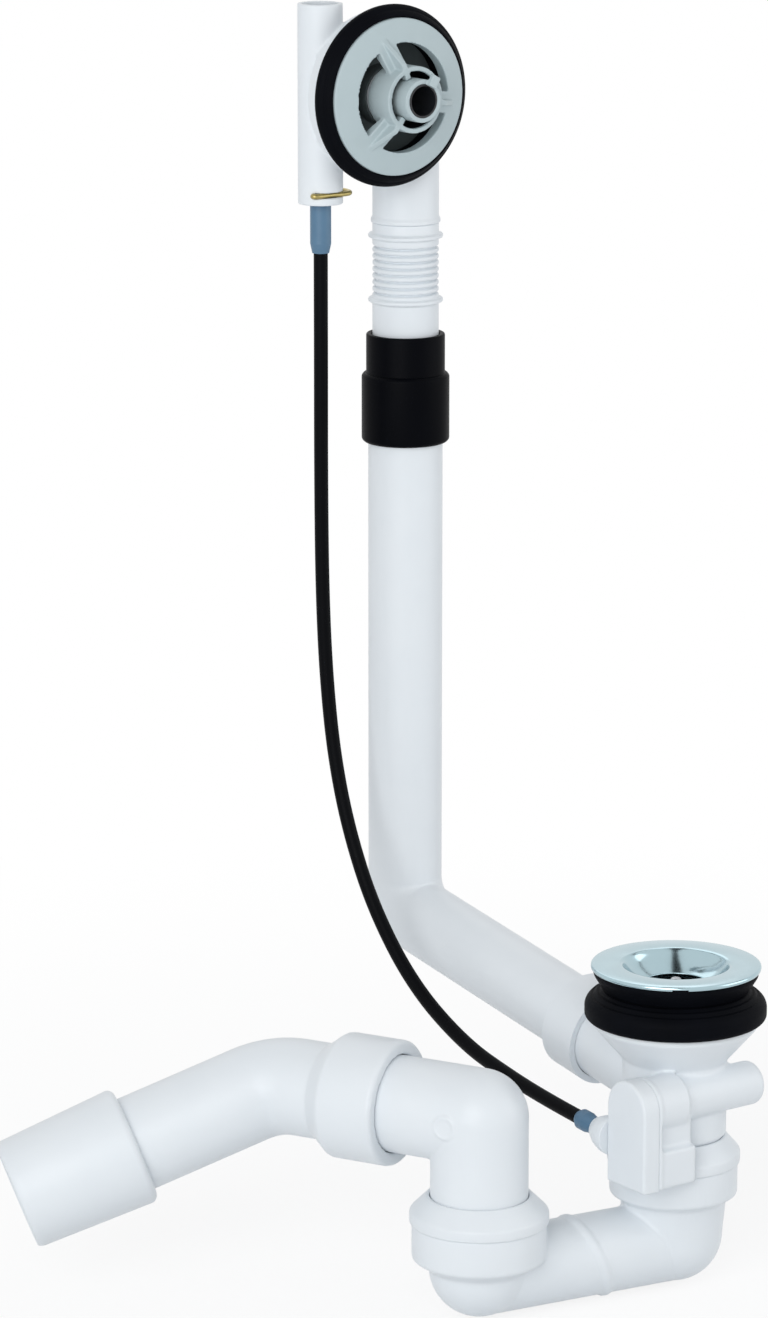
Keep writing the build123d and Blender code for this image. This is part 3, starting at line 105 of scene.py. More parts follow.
# Noise of the finishes: its octaves and their weight, and the span of it that the gloss follows
driftNoise = {"Detail": 3.0, "Roughness": 0.55}
grainNoise = {"Detail": 4.0, "Roughness": 0.6}
glossSpan = {"From Min": 0.3, "From Max": 0.7}


def noiseField(tree, place, size, noise):
    # Noise whose features are about as large as a size in millimetres
    field = addNode(tree, "ShaderNodeTexNoise", inputs={"Vector": place, "Scale": 1.0 / (size * mm), **noise})
    return field.outputs["Fac"]


def driftingColour(tree, share, finish):
    colour = addNode(tree, "ShaderNodeMix", {"data_type": "RGBA"}, {
        "Factor": share, "A": linearColour(finish["shade"]), "B": linearColour(finish["colour"])})
    return colour.outputs["Result"]


def unevenGloss(tree, share, finish):
    smoothest, roughest = finish["roughness"]
    gloss = addNode(tree, "ShaderNodeMapRange", inputs={
        "Value": share, **glossSpan, "To Min": smoothest, "To Max": roughest})
    return gloss.outputs["Result"]


def mouldedFinish(name, finish):
    # Moulded plastic or rubber: slow colour drift, uneven gloss and a fine moulded grain
    material, tree = newMaterial(name)
    place = addNode(tree, "ShaderNodeTexCoord").outputs["Object"]
    drift = noiseField(tree, place, finish["driftSize"], driftNoise)
    grain = noiseField(tree, place, finish["grainSize"], grainNoise)
    bump = addNode(tree, "ShaderNodeBump", inputs={
        "Height": grain, "Strength": finish["bump"], "Distance": finish["grainDepth"] * mm})
    shader = addNode(tree, "ShaderNodeBsdfPrincipled", inputs={
        "Base Color": driftingColour(tree, drift, finish), "Roughness": unevenGloss(tree, grain, finish),
        "Normal": bump.outputs["Normal"], "IOR": finish["ior"], "Specular IOR Level": finish["specular"]})
    addNode(tree, "ShaderNodeOutputMaterial", inputs={"Surface": shader.outputs["BSDF"]})
    return material


def metalFinish(name, finish):
    # Plated or drawn metal: bright, with faint streaks in its gloss
    material, tree = newMaterial(name)
    place = addNode(tree, "ShaderNodeTexCoord").outputs["Object"]
    streaks = noiseField(tree, place, finish["streakSize"], grainNoise)
    shader = addNode(tree, "ShaderNodeBsdfPrincipled", inputs={
        "Base Color": driftingColour(tree, streaks, finish), "Roughness": unevenGloss(tree, streaks, finish),
        "Metallic": 1.0})
    if "turned" in finish:
        # Lathe marks about the piece's upright axis draw reflections out into rays
        marks = addNode(tree, "ShaderNodeTangent", {"direction_type": "RADIAL", "axis": "Z"})
        tree.links.new(marks.outputs["Tangent"], shader.inputs["Tangent"])
        shader.inputs["Anisotropic"].default_value = finish["turned"]
    addNode(tree, "ShaderNodeOutputMaterial", inputs={"Surface": shader.outputs["BSDF"]})
    return material


# Sizes in millimetres. Grain sizes are drawn coarser than the real moulded grain, which is too fine to show

# White polypropylene, injection moulded: cool white with a soft satin gloss
polypropylene = mouldedFinish("whitePolypropylene", {
    "colour": "#e6ebef", "shade": "#dfe5ea", "driftSize": 28.0,
    "grainSize": 1.2, "grainDepth": 0.05, "bump": 0.08,
    "roughness": (0.34, 0.44), "ior": 1.49, "specular": 0.4})
# White acetal: a little warmer and slicker, on the pieces that slide and turn
acetal = mouldedFinish("whiteAcetal", {
    "colour": "#ecebe4", "shade": "#e4e3db", "driftSize": 12.0,
    "grainSize": 0.9, "grainDepth": 0.03, "bump": 0.06,
    "roughness": (0.26, 0.34), "ior": 1.48, "specular": 0.5})
# Grey ABS with a fine spark-eroded texture
greyAbs = mouldedFinish("greyAbs", {
    "colour": "#b4c3c7", "shade": "#aebdc1", "driftSize": 14.0,
    "grainSize": 0.8, "grainDepth": 0.05, "bump": 0.18,
    "roughness": (0.42, 0.54), "ior": 1.53, "specular": 0.4})
# Dark grey nylon of the stem guide and the hub's liner, dull and nearly black
darkPlastic = mouldedFinish("darkNylon", {
    "colour": "#1c1e22", "shade": "#14161a", "driftSize": 10.0,
    "grainSize": 0.8, "grainDepth": 0.04, "bump": 0.12,
    "roughness": (0.4, 0.5), "ior": 1.5, "specular": 0.4})
# Black polypropylene of the coupling sleeve, satin
sleeveBlack = mouldedFinish("blackPolypropylene", {
    "colour": "#07080d", "shade": "#040508", "driftSize": 20.0,
    "grainSize": 1.0, "grainDepth": 0.04, "bump": 0.1,
    "roughness": (0.36, 0.46), "ior": 1.49, "specular": 0.03})
# EPDM rubber: matt black with a dull bloom
rubber = mouldedFinish("blackEpdmRubber", {
    "colour": "#0c0e14", "shade": "#06070a", "driftSize": 16.0,
    "grainSize": 0.9, "grainDepth": 0.08, "bump": 0.25,
    "roughness": (0.5, 0.64), "ior": 1.5, "specular": 0.03})
# The same rubber inside the overflow, in grey: painted shade of the deep chamber that shows through the
# plate's windows
chamberShadeRubber = mouldedFinish("chamberShadeEpdm", {
    "colour": "#646d6f", "shade": "#50585a", "driftSize": 9.0,
    "grainSize": 0.9, "grainDepth": 0.08, "bump": 0.25,
    "roughness": (0.6, 0.75), "ior": 1.5, "specular": 0.15})
# PVC sheath of the cable: deep black with a low sheen
sheath = mouldedFinish("blackPvcSheath", {
    "colour": "#07080c", "shade": "#040507", "driftSize": 18.0,
    "grainSize": 1.0, "grainDepth": 0.05, "bump": 0.15,
    "roughness": (0.42, 0.52), "ior": 1.53, "specular": 0.05})
# Blue-grey nylon of the cable's ferrules
ferruleNylon = mouldedFinish("blueGreyNylon", {
    "colour": "#587b97", "shade": "#4e708b", "driftSize": 8.0,
    "grainSize": 0.8, "grainDepth": 0.04, "bump": 0.12,
    "roughness": (0.38, 0.48), "ior": 1.53, "specular": 0.4})
# Chrome plate over a turned flange: bright and cool, with reflections drawn out by the lathe marks
chrome = metalFinish("chromePlate", {
    "colour": "#b1c8cf", "shade": "#a9c1c9", "streakSize": 9.0,
    "roughness": (0.1, 0.15), "turned": 0.85})
# Drawn brass wire, dulled
brass = metalFinish("drawnBrass", {
    "colour": "#b8a870", "shade": "#988a55", "streakSize": 3.0, "roughness": (0.26, 0.38)})
# Zinc-plated steel: cool grey with a soft shine
steel = metalFinish("platedSteel", {
    "colour": "#b9bcc0", "shade": "#a9adb2", "streakSize": 3.0, "roughness": (0.24, 0.34)})
print("materials made")

slotFinish = {
    "white_pp": polypropylene, "white_acetal": acetal, "grey_abs": greyAbs, "dark_plastic": darkPlastic,
    "black_sleeve": sleeveBlack, "black_rubber": rubber, "cable_sheath": sheath,
    "blue_grey_ferrule": ferruleNylon, "chrome": chrome, "brass": brass, "steel": steel}
nodeSlot = {entry["node"]: entry["material_slot"] for entry in frame["record"]["subparts"]}
bodies = frame["record"]["behaviour"]["bodies"]
nodeBody = {node: body for body, nodes in bodies.items() for node in nodes}
for name, node in frame["nodes"].items():
    node.data.materials.clear()
    node.data.materials.append(slotFinish[nodeSlot[name]])
print("finishes given to the nodes")


def wireCurve(name, wire, places):
    # Round wire along a smooth curve, its places in millimetres
    curve = bpy.data.curves.new(name, "CURVE")
    curve.dimensions = "3D"
    curve.bevel_depth = wire["diameter"] / 2 * mm
    curve.bevel_resolution = wire["roundSteps"]
    curve.resolution_u = wire["lengthSteps"]
    curve.use_fill_caps = True
    spline = curve.splines.new("NURBS")
    spline.points.add(len(places) - 1)
    for point, place in zip(spline.points, places):
        point.co = (*[c * mm for c in place], 1.0)
    spline.order_u = 3
    spline.use_endpoint_u = True
    piece = bpy.data.objects.new(name, curve)
    bpy.context.scene.collection.objects.link(piece)
    return piece


# Bowden cable: one stiff cord from the upper ferrule to the lower one, in millimetres
cableLine = {
    "diameter": 6.1, "length": 443.8, "roundSteps": 6, "lengthSteps": 12,
    "points": [
        (-46.0, 186.0, 277.0), (-46.0, 186.0, 237.0), (-44.3, 188.6, 183.0), (-43.0, 189.8, 132.0),
        (-41.9, 188.6, 93.0), (-40.9, 184.0, 57.0), (-40.0, 173.9, 25.0), (-39.1, 156.8, -5.5),
        (-38.2, 129.8, -32.6), (-37.3, 95.0, -49.8), (-36.6, 62.8, -56.4), (-36.0, 38.352, -60.101),
        (-36.0, 17.432, -61.931)]}
cable = wireCurve("bowdenCable", cableLine, cableLine["points"])
cable.data.materials.append(sheath)
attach(cable, "base")
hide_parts("bowden_cable")
print("cable laid")

# Distances in millimetres within which points of a mesh become one
weld = {"node": 0.002, "turned": 0.005, "sliver": 0.01}
# Corners of a turned profile: the most of a side that one may take, the points along it,
# and the angle in degrees from which an edge stays sharp
corners = {"sideShare": 0.42, "points": 4, "sharpAngle": 50.0}
# Smoothing of the moulded copies: strength of a round, and the rounds that even out the node's facets
smoothing = {"strength": 0.5, "facetRounds": 3}


def selectOnly(piece):
    bpy.ops.object.select_all(action="DESELECT")
    piece.select_set(True)
    bpy.context.view_layer.objects.active = piece


def applyModifier(piece, kind, settings):
    modifier = piece.modifiers.new(kind.lower(), kind)
    for name, value in settings.items():
        setattr(modifier, name, value)
    bpy.ops.object.modifier_apply(modifier=modifier.name)


def cutBox(piece, size, place, turn=(0.0, 0.0, 0.0)):
    # Takes a box out of a piece: its size and middle in millimetres, its turn in degrees
    bpy.ops.object.select_all(action="DESELECT")
    bpy.ops.mesh.primitive_cube_add(
        size=mm, location=Vector(place) * mm, rotation=[radians(a) for a in turn], scale=size)
    cutter = bpy.context.object
    selectOnly(piece)
    applyModifier(piece, "BOOLEAN", {"operation": "DIFFERENCE", "object": cutter})
    bpy.data.objects.remove(cutter)


def cleanMesh(piece):
    # Takes out the slivers that a cut or a remesh leaves, and any speck apart from the piece
    selectOnly(piece)
    bpy.ops.object.mode_set(mode="EDIT")
    bpy.ops.mesh.select_all(action="SELECT")
    bpy.ops.mesh.dissolve_degenerate(threshold=weld["sliver"] * mm)
    bpy.ops.mesh.select_all(action="SELECT")
    bpy.ops.mesh.separate(type="LOOSE")
    bpy.ops.object.mode_set(mode="OBJECT")
    islands = sorted(bpy.context.selected_objects, key=lambda island: len(island.data.polygons))
    whole, name = islands.pop(), piece.name
    for speck in islands:
        bpy.data.objects.remove(speck)
    whole.name = name
    selectOnly(whole)
    return whole


def joinPieces(piece, others):
    selectOnly(piece)
    for other in others:
        other.select_set(True)
    bpy.ops.object.join()


def standIn(piece, nodeName):
    # Finish, body and slot of the node that the piece stands for
    piece.data.materials.clear()
    piece.data.materials.append(slotFinish[nodeSlot[nodeName]])
    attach(piece, nodeBody[nodeName])
    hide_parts(nodeName)


def easedProfile(points, ease):
    # Corners of a closed profile rounded, over no more than a share of the shorter side
    eased = []
    for i, corner in enumerate(points):
        here = Vector(corner)
        before = Vector(points[i - 1]) - here
        after = Vector(points[(i + 1) % len(points)]) - here
        reach = min(ease, corners["sideShare"] * before.length, corners["sideShare"] * after.length)
        start = here + before.normalized() * reach
        end = here + after.normalized() * reach
        for step in range(corners["points"]):
            t = step / (corners["points"] - 1)
            eased.append(start * (1 - t) ** 2 + here * 2 * t * (1 - t) + end * t ** 2)
    return eased


def turnedPiece(name, shape):
    # A profile of (radius, height) points in millimetres, spun about its axis
    foot = Vector(shape["foot"]) * mm
    along = Vector(shape["along"]).normalized()
    across = along.orthogonal().normalized()
    profile = easedProfile(shape["profile"], shape["ease"])
    bpy.ops.object.select_all(action="DESELECT")
    bpy.ops.mesh.primitive_circle_add(vertices=len(profile), radius=shape["ease"] * mm)
    piece = bpy.context.object
    piece.name = name
    for vertex, point in zip(piece.data.vertices, profile):
        vertex.co = foot + across * (point.x * mm) + along * (point.y * mm)
    bpy.ops.object.mode_set(mode="EDIT")
    bpy.ops.mesh.select_all(action="SELECT")
    bpy.ops.mesh.spin(steps=shape["steps"], angle=2 * pi, center=foot, axis=along)
    bpy.ops.mesh.select_all(action="SELECT")
    bpy.ops.mesh.remove_doubles(threshold=weld["turned"] * mm)
    bpy.ops.mesh.normals_make_consistent(inside=False)
    bpy.ops.object.mode_set(mode="OBJECT")
    bpy.ops.object.shade_smooth_by_angle(angle=radians(corners["sharpAngle"]))
    return piece


def mouldedCopy(nodeName, name, mould):
    # Remeshed copy of a node: its edges are rounded and its inner corners eased,
    # and the rest lies on the node's surface
    piece = bpy.data.objects.new(name, frame["nodes"][nodeName].data.copy())
    bpy.context.scene.collection.objects.link(piece)
    joinPieces(piece, [turnedPiece(name + "Ring", ring) for ring in mould.get("rings", [])])
    bpy.ops.object.mode_set(mode="EDIT")
    bpy.ops.mesh.select_all(action="SELECT")
    bpy.ops.mesh.remove_doubles(threshold=weld["node"] * mm)
    bpy.ops.object.mode_set(mode="OBJECT")
    surface = BVHTree.FromPolygons(
        [v.co for v in piece.data.vertices], [p.vertices for p in piece.data.polygons])
    applyModifier(piece, "REMESH", {"mode": "VOXEL", "voxel_size": mould["voxel"] * mm})
    applyModifier(piece, "SMOOTH", {"factor": smoothing["strength"], "iterations": mould["rounds"]})
    near, far = mould["keep"][0] * mm, mould["keep"][1] * mm
    for vertex in piece.data.vertices:
        spot, _, _, gap = surface.find_nearest(vertex.co)
        pull = min(max((far - gap) / (far - near), 0.0), 1.0)
        vertex.co = vertex.co.lerp(spot, pull)
    applyModifier(piece, "SMOOTH", {"factor": smoothing["strength"], "iterations": smoothing["facetRounds"]})
    applyModifier(piece, "DECIMATE", {"ratio": mould["share"]})
    piece = cleanMesh(piece)
    bpy.ops.object.shade_smooth()
    standIn(piece, nodeName)
    print(name, "has", len(piece.data.polygons), "faces")
    return piece


# Axes that pieces are turned about, in millimetres
upright = (0.0, 0.0, 1.0)
wasteAxis = {"foot": (0.0, 0.0, 0.0), "along": upright}
legAxis = {"foot": (-91.1268, 12.6449, 0.0), "along": upright}
riserAxis = {"foot": (0.0, 188.3, 0.0), "along": upright}
rackAxis = {"foot": (-46.0, 186.0, 0.0), "along": upright}
headAxis = {"foot": (-22.9, 0.0, 343.5), "along": (0.0, 1.0, 0.0)}
gateAxis = {"foot": (-93.71, 18.06, -50.0), "along": (-0.9026, -0.4305, 0.0)}
tailAxis = {"foot": (-132.0254, 98.3905, -50.0), "along": (-0.857136, 0.374591, -0.353553)}
screwAxis = {"foot": (0.0, 0.0, 0.0), "along": (0.0, 1.0, 0.0)}

# Mouldings with rounded edges and eased joints, sizes in millimetres.
# A ring closes the top of the rack tube's slot, and a disc marks the gate on the elbow
tubeRim = {
    **rackAxis, "ease": 0.05, "steps": 48,
    "profile": [(7.5, 363.4), (9.5, 363.4), (9.5, 382.0), (7.5, 382.0)]}
gateDisc = {
    **gateAxis, "ease": 0.1, "steps": 48,
    "profile": [(0.0, 18.0), (5.0, 18.0), (5.0, 20.2), (3.8, 20.2), (3.6, 19.8), (0.0, 19.8)]}
mouldings = {
    "waste_body": ("wasteBody", {"voxel": 0.8, "rounds": 5, "keep": (0.08, 0.3), "share": 0.45}),
    "u_bend": ("uBend", {"voxel": 0.9, "rounds": 6, "keep": (0.08, 0.35), "share": 0.4}),
    "outlet_elbow": ("outletElbow", {
        "voxel": 0.6, "rounds": 6, "keep": (0.08, 0.35), "share": 0.35, "rings": [gateDisc]}),
    "bend_45": ("bend45", {"voxel": 0.9, "rounds": 5, "keep": (0.08, 0.3), "share": 0.4}),
    "overflow_body": ("overflowBody", {
        "voxel": 0.5, "rounds": 4, "keep": (0.05, 0.2), "share": 0.35, "rings": [tubeRim]}),
    "overflow_plate": ("overflowPlate", {"voxel": 0.4, "rounds": 3, "keep": (0.04, 0.16), "share": 0.35}),
    "drive_hub": ("driveHub", {"voxel": 0.35, "rounds": 3, "keep": (0.04, 0.16), "share": 0.4}),
    "lever_cover": ("leverCover", {"voxel": 0.5, "rounds": 4, "keep": (0.05, 0.22), "share": 0.4}),
    "gear_cover": ("gearCover", {"voxel": 0.5, "rounds": 4, "keep": (0.05, 0.22), "share": 0.4}),
    "cable_gland": ("cableGland", {"voxel": 0.3, "rounds": 3, "keep": (0.04, 0.14), "share": 0.4}),
}
for nodeName, (name, mould) in mouldings.items():
    mouldedCopy(nodeName, name, mould)
print("mouldings eased")

# Grooves of the flexible connector: where one falls from the crest and rises again, in shares of the pitch
grooves = {
    "start": 255.2, "pitch": 2.8125, "count": 8, "crest": 14.2, "root": 12.6,
    "turns": [(0.0, "crest"), (0.17, "root"), (0.29, "root"), (0.46, "crest")]}
corrugation = []
for number in range(grooves["count"]):
    base = grooves["start"] + number * grooves["pitch"]
    for share, radius in grooves["turns"]:
        corrugation.append((grooves[radius], base + share * grooves["pitch"]))
# Turned rings, sleeves and stem with eased edges, as (radius, height) profiles
turnings = {
    "overflow_gasket": ("overflowGasket", {
        **headAxis, "ease": 1.2, "steps": 128, "profile": [
            (24.0, 164.5), (33.3, 164.5), (33.3, 162.3), (34.2, 162.3), (35.7, 163.8), (36.1, 164.6),
            (36.9, 165.0), (38.25, 166.6), (38.25, 169.0), (35.0, 171.0), (24.0, 171.0)]}),
    "bath_gasket": ("bathGasket", {
        **wasteAxis, "ease": 0.9, "steps": 112, "profile": [
            (24.3, -8.5), (30.0, -8.5), (31.4, -9.9), (32.5, -9.7), (33.9, -11.5), (35.0, -11.3),
            (36.7, -13.0), (37.5, -15.0), (37.5, -19.4), (36.2, -21.0), (24.3, -21.0)]}),
    "inlet_cap_ring": ("inletCapRing", {
        **wasteAxis, "ease": 0.9, "steps": 96, "profile": [
            (20.3, -70.7), (21.5, -70.7), (27.5, -77.6), (27.5, -82.1), (25.6, -82.1), (25.6, -77.6),
            (20.3, -77.6)]}),
    "outlet_cap_ring": ("outletCapRing", {
        **legAxis, "ease": 0.9, "steps": 96, "profile": [
            (20.3, -82.7), (21.5, -82.7), (28.5, -89.6), (28.5, -94.1), (26.6, -94.1), (26.6, -89.6),
            (20.3, -89.6)]}),
    "coupling_sleeve": ("couplingSleeve", {
        **riserAxis, "ease": 0.8, "steps": 80, "profile": [
            (16.3, 191.0), (17.65, 191.0), (18.85, 192.2), (18.85, 219.8), (17.65, 221.0), (16.9, 221.0),
            (16.9, 238.0), (14.5, 238.0), (14.5, 234.5), (15.7, 234.5), (15.7, 232.0), (14.5, 232.0),
            (14.5, 214.0), (14.0, 214.0), (14.0, 212.0), (16.3, 212.0)]}),
    "flexible_connector": ("flexibleConnector", {
        **riserAxis, "ease": 0.7, "steps": 72, "profile": [
            (10.4, 214.0), (14.2, 214.0), (14.2, 251.3), (16.0, 251.95), (16.0, 253.25), (14.2, 253.9),
            *corrugation, (14.2, 279.0), (16.0, 279.65), (16.0, 280.95), (14.2, 281.6), (14.2, 286.0),
            (11.9, 286.0), (11.9, 298.0), (10.4, 298.0)]}),
    "end_sleeve": ("endSleeve", {
        **tailAxis, "ease": 1.4, "steps": 96, "profile": [
            (20.05, 63.0), (23.0, 63.0), (25.0, 65.0), (23.25, 114.0), (22.25, 116.0), (20.85, 116.0),
            (20.85, 87.0), (20.05, 87.0)]}),
    "lift_stem": ("liftStem", {
        **wasteAxis, "ease": 0.5, "steps": 40, "profile": [
            (0.0, -51.76), (1.5, -51.36), (2.6, -50.26), (3.0, -48.76), (2.82, -47.74), (2.5, -47.1),
            (2.5, -4.83), (1.67, -4.0), (0.0, -4.0)]}),
}
for nodeName, (name, shape) in turnings.items():
    standIn(turnedPiece(name, shape), nodeName)
print("rings and sleeves turned")

# Chrome flange with a locating notch, and its seal with the tab that fits the notch
wasteRim = {
    "notchTurn": 234.0, "notch": (2.4, 6.8, 1.8), "rimRadius": 35.0, "sharpAngle": 35.0,
    "tab": (0.9, 6.5, 1.85), "tabPlace": (34.35, -0.075), "tabBevel": 0.2, "tabBevelSteps": 2,
    "flange": [
        (22.3, 2.0), (35.0, 2.0), (35.0, 0.0), (24.0, 0.0), (24.0, -31.0), (22.3, -31.0), (22.3, -8.0),
        (13.0, -8.0), (13.0, -6.0), (13.6, -6.0), (16.2, -4.5), (18.6, -2.7), (20.6, -0.5)],
    "seal": [(24.3, 0.0), (34.0, 0.0), (34.0, -2.0), (30.0, -8.5), (24.3, -8.5)]}
notchAngle = radians(wasteRim["notchTurn"])
notchWay = Vector((cos(notchAngle), sin(notchAngle), 0.0))
flange = turnedPiece("wasteFlange", {
    **wasteAxis, "ease": 1.1, "steps": 160, "profile": wasteRim["flange"]})
cutBox(flange, wasteRim["notch"], notchWay * wasteRim["rimRadius"], (0.0, 0.0, wasteRim["notchTurn"]))
bpy.ops.object.shade_smooth_by_angle(angle=radians(wasteRim["sharpAngle"]))
standIn(flange, "waste_flange")
flangeSeal = turnedPiece("flangeSeal", {
    **wasteAxis, "ease": 0.9, "steps": 112, "profile": wasteRim["seal"]})
tabAway, tabLevel = wasteRim["tabPlace"]
bpy.ops.object.select_all(action="DESELECT")
bpy.ops.mesh.primitive_cube_add(
    size=mm, location=(notchWay * tabAway + Vector((0.0, 0.0, tabLevel))) * mm,
    rotation=(0.0, 0.0, notchAngle), scale=wasteRim["tab"])
sealTab = bpy.context.object
bpy.ops.object.transform_apply(location=True, rotation=True, scale=True)
applyModifier(sealTab, "BEVEL", {"width": wasteRim["tabBevel"] * mm, "segments": wasteRim["tabBevelSteps"]})
joinPieces(flangeSeal, [sealTab])
standIn(flangeSeal, "flange_seal")
print("waste rim made")

# Lining of the overflow's pan, part of its gasket, with a collar round the post and the opening to the
# spigot: a dark sheet of painted shade, standing for the deep chamber behind the plate's windows
panShadeLining = {
    "profile": [
        (29.7, 171.0), (29.7, 176.0), (12.0, 176.0), (12.0, 168.0), (12.8, 168.0), (12.8, 175.2),
        (28.9, 175.2), (28.9, 171.0)],
    "opening": (15.3, 2.0, 19.1), "openingPlace": (-1.65, 175.6, 338.85)}
shadeLining = turnedPiece("panShadeLining", {
    **headAxis, "ease": 0.3, "steps": 96, "profile": panShadeLining["profile"]})
cutBox(shadeLining, panShadeLining["opening"], panShadeLining["openingPlace"])
shadeLining.data.materials.append(chamberShadeRubber)
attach(shadeLining, nodeBody["overflow_gasket"])
# Rubber cup in the plate's ring, which makes the gap round the hub dark: painted shade of the deep gap
ringShadeCup = {"profile": [
    (9.25, 160.4), (9.25, 159.6), (11.6, 159.6), (11.6, 151.2), (11.95, 151.2), (11.95, 160.4)]}
shadeCup = turnedPiece("ringShadeCup", {
    **headAxis, "ease": 0.1, "steps": 72, "profile": ringShadeCup["profile"]})
shadeCup.data.materials.append(rubber)
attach(shadeCup, nodeBody["overflow_gasket"])
print("pan and ring lined")

# Brass wire clip whose front leg starts inside the slot, in millimetres
clipWire = {
    "diameter": 2.3, "level": 302.2, "roundSteps": 5, "lengthSteps": 10,
    "points": [
        (-52.4, 181.6), (-54.4, 180.3), (-53.6, 178.6), (-49.5, 178.7), (-44.5, 179.0), (-40.0, 178.9),
        (-35.6, 179.4), (-33.6, 182.6), (-33.6, 189.4), (-35.6, 192.6), (-40.0, 193.1), (-45.0, 193.0),
        (-50.0, 193.0)]}
clip = wireCurve("retainingClip", clipWire, [(x, y, clipWire["level"]) for x, y in clipWire["points"]])
selectOnly(clip)
bpy.ops.object.convert(target="MESH")
standIn(clip, "retaining_clip")
print("clip bent")

# Lid screws: pan heads with a cross recess, modelled once and copied
lidScrew = {
    "seat": 195.5, "spots": [(-31.7, 325.41), (-31.7, 361.59), (-16.6, 325.41), (-16.6, 361.59)],
    "profile": [(0.0, -8.0), (1.5, -8.0), (1.5, 0.0), (2.8, 0.0), (2.8, 1.0), (2.0, 1.7), (0.0, 1.8)],
    "cross": (3.4, 2.0, 0.8), "crossLevel": 1.8}
screw = turnedPiece("coverScrews", {
    **screwAxis, "ease": 0.3, "steps": 32, "profile": lidScrew["profile"]})
for turn in (0.0, 90.0):
    cutBox(screw, lidScrew["cross"], (0.0, lidScrew["crossLevel"], 0.0), (0.0, turn, 0.0))
screw = cleanMesh(screw)
screws = [screw]
while len(screws) < len(lidScrew["spots"]):
    selectOnly(screw)
    bpy.ops.object.duplicate(linked=False)
    screws.append(bpy.context.object)
for part, (x, z) in zip(screws, lidScrew["spots"]):
    part.location = (x * mm, lidScrew["seat"] * mm, z * mm)
joinPieces(screw, screws)
bpy.ops.object.transform_apply(location=True, rotation=True, scale=True)
standIn(screw, "cover_screws")
print("lid screws made")


def seenShare(tree):
    # One for rays that look at a surface straight, in a mirror or through glass, nothing for the rest
    rays = addNode(tree, "ShaderNodeLightPath")
    mirrored = addNode(tree, "ShaderNodeMath", {"operation": "MAXIMUM"}, {
        0: rays.outputs["Is Camera Ray"], 1: rays.outputs["Is Glossy Ray"]})
    seen = addNode(tree, "ShaderNodeMath", {"operation": "MAXIMUM"}, {
        0: mirrored.outputs["Value"], 1: rays.outputs["Is Transmission Ray"]})
    return seen.outputs["Value"]


# Floor and soft studio light, in metres
studio = {
    "floorSize": 14.0, "floorDrop": 0.0005, "floorColour": "#f2f3f4", "paperRoughness": 0.6,
    "skyColour": "#f5f6f7", "skyStrength": 0.58,
    "shadowShare": 0.16, "fadeStart": 0.2, "fadeRadius": 0.75}
plainWhite = {"Color": (1.0, 1.0, 1.0, 1.0), "Strength": 1.0}
floorLevel = cadBox[0][2] - studio["floorDrop"]
bpy.ops.object.select_all(action="DESELECT")
bpy.ops.mesh.primitive_plane_add(size=studio["floorSize"], location=(0.0, 0.0, floorLevel))
floor = bpy.context.object
floor.name = "floor"
bpy.ops.object.transform_apply(location=True, rotation=True, scale=True)
floorPaper, tree = newMaterial("paleFloor")
paper = addNode(tree, "ShaderNodeBsdfDiffuse", inputs={
    "Color": linearColour(studio["floorColour"]), "Roughness": studio["paperRoughness"]})
# What looks at the floor sees it white, with the object's shadow left in it near the object
place = addNode(tree, "ShaderNodeTexCoord").outputs["Object"]
away = addNode(tree, "ShaderNodeVectorMath", {"operation": "LENGTH"}, {0: place})
fade = addNode(tree, "ShaderNodeMapRange", {"interpolation_type": "SMOOTHSTEP"}, {
    "Value": away.outputs["Value"], "From Min": studio["fadeStart"], "From Max": studio["fadeRadius"],
    "To Min": 1.0 - studio["shadowShare"], "To Max": 1.0})
whiteShare = addNode(tree, "ShaderNodeMath", {"operation": "MULTIPLY"}, {
    0: seenShare(tree), 1: fade.outputs["Result"]})
glow = addNode(tree, "ShaderNodeEmission", inputs=plainWhite)
blend = addNode(tree, "ShaderNodeMixShader", inputs={
    0: whiteShare.outputs["Value"], 1: paper.outputs["BSDF"], 2: glow.outputs["Emission"]})
addNode(tree, "ShaderNodeOutputMaterial", inputs={"Surface": blend.outputs["Shader"]})
floor.data.materials.append(floorPaper)

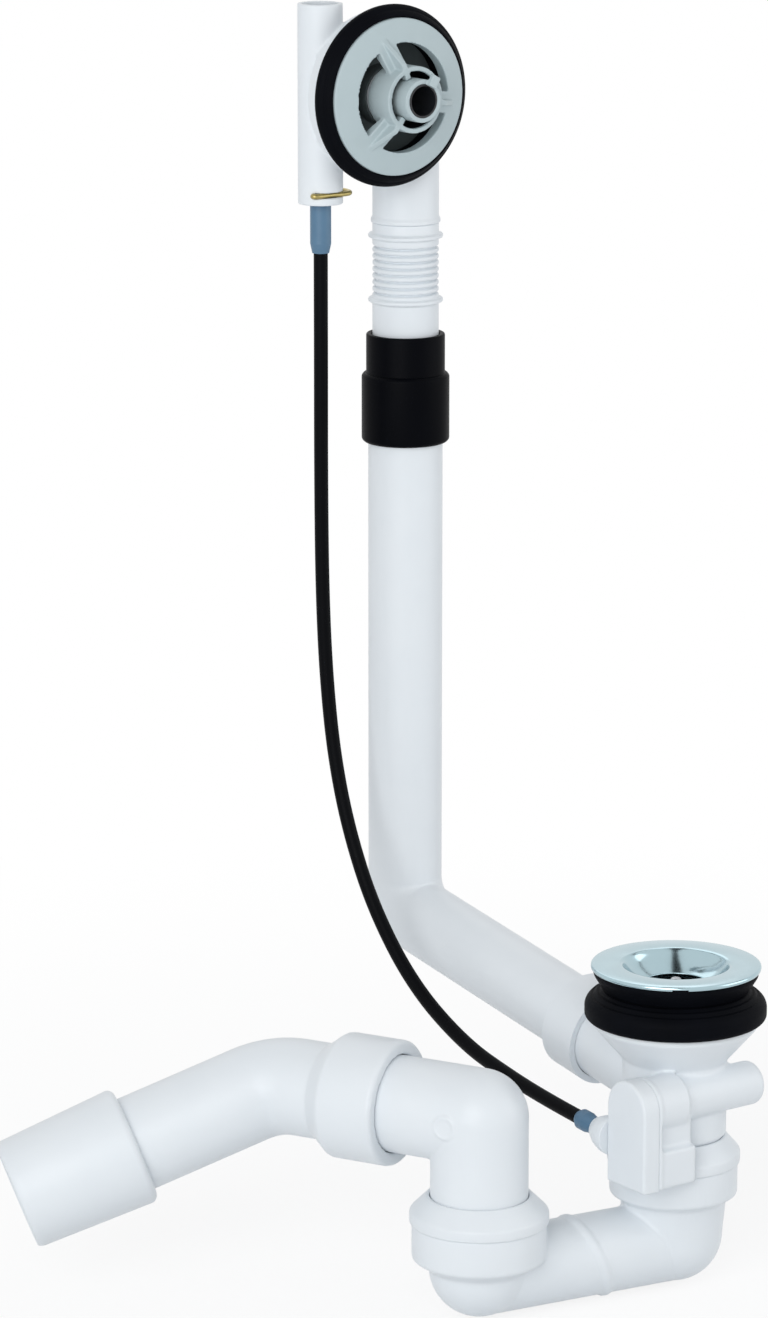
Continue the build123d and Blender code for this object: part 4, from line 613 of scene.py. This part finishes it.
# Pale sky for the light, plain white for what looks at it
world = bpy.data.worlds.new("studio")
bpy.context.scene.world = world
world.use_nodes = True
tree = world.node_tree
tree.nodes.clear()
sky = addNode(tree, "ShaderNodeBackground", inputs={
    "Color": linearColour(studio["skyColour"]), "Strength": studio["skyStrength"]})
backdrop = addNode(tree, "ShaderNodeBackground", inputs=plainWhite)
mixed = addNode(tree, "ShaderNodeMixShader", inputs={
    0: seenShare(tree), 1: sky.outputs["Background"], 2: backdrop.outputs["Background"]})
addNode(tree, "ShaderNodeOutputWorld", inputs={"Surface": mixed.outputs["Shader"]})

# Dark cards overhead, which only the bright metal shows: width and length, place and turn of each
darkCards = {"colour": "#101214", "cards": [
    ((0.32, 2.4), (0.0, 0.0, 1.6), viewpoint["turn"]), ((0.2, 2.0), (1.8, 0.3, 1.6), 20.4)]}
cardBlack, tree = newMaterial("blackCard")
felt = addNode(tree, "ShaderNodeBsdfDiffuse", inputs={"Color": linearColour(darkCards["colour"])})
addNode(tree, "ShaderNodeOutputMaterial", inputs={"Surface": felt.outputs["BSDF"]})
for number, (size, place, turn) in enumerate(darkCards["cards"]):
    bpy.ops.object.select_all(action="DESELECT")
    bpy.ops.mesh.primitive_plane_add(size=1.0, location=place, rotation=(0.0, 0.0, radians(turn)))
    card = bpy.context.object
    card.name = "darkCard" + str(number)
    card.scale = (*size, 1.0)
    bpy.ops.object.transform_apply(location=True, rotation=True, scale=True)
    card.data.materials.append(cardBlack)
    for ray in ("camera", "diffuse", "transmission", "volume_scatter", "shadow"):
        setattr(card, "visible_" + ray, False)

# Softboxes, all aimed at the middle of the part: place and size in metres, power in watts
lampAim = (-0.03, 0.09, 0.1)
lamps = {
    "keySoftbox": {"place": (-1.75, -1.05, 0.75), "size": 1.6, "power": 23.5},
    "fillSoftbox": {"place": (1.3, -1.1, 0.6), "size": 1.4, "power": 7.5},
    "rearSoftbox": {"place": (0.7, 1.7, 1.7), "size": 1.6, "power": 5.0}}
for name, lamp in lamps.items():
    light = bpy.data.lights.new(name, "AREA")
    light.shape = "SQUARE"
    light.size = lamp["size"]
    light.energy = lamp["power"]
    holder = bpy.data.objects.new(name, light)
    holder.location = lamp["place"]
    aim = [b - a for a, b in zip(lamp["place"], lampAim)]
    holder.rotation_euler = Vector(aim).to_track_quat("-Z", "Y").to_euler()
    bpy.context.scene.collection.objects.link(holder)
print("floor and lamps set")
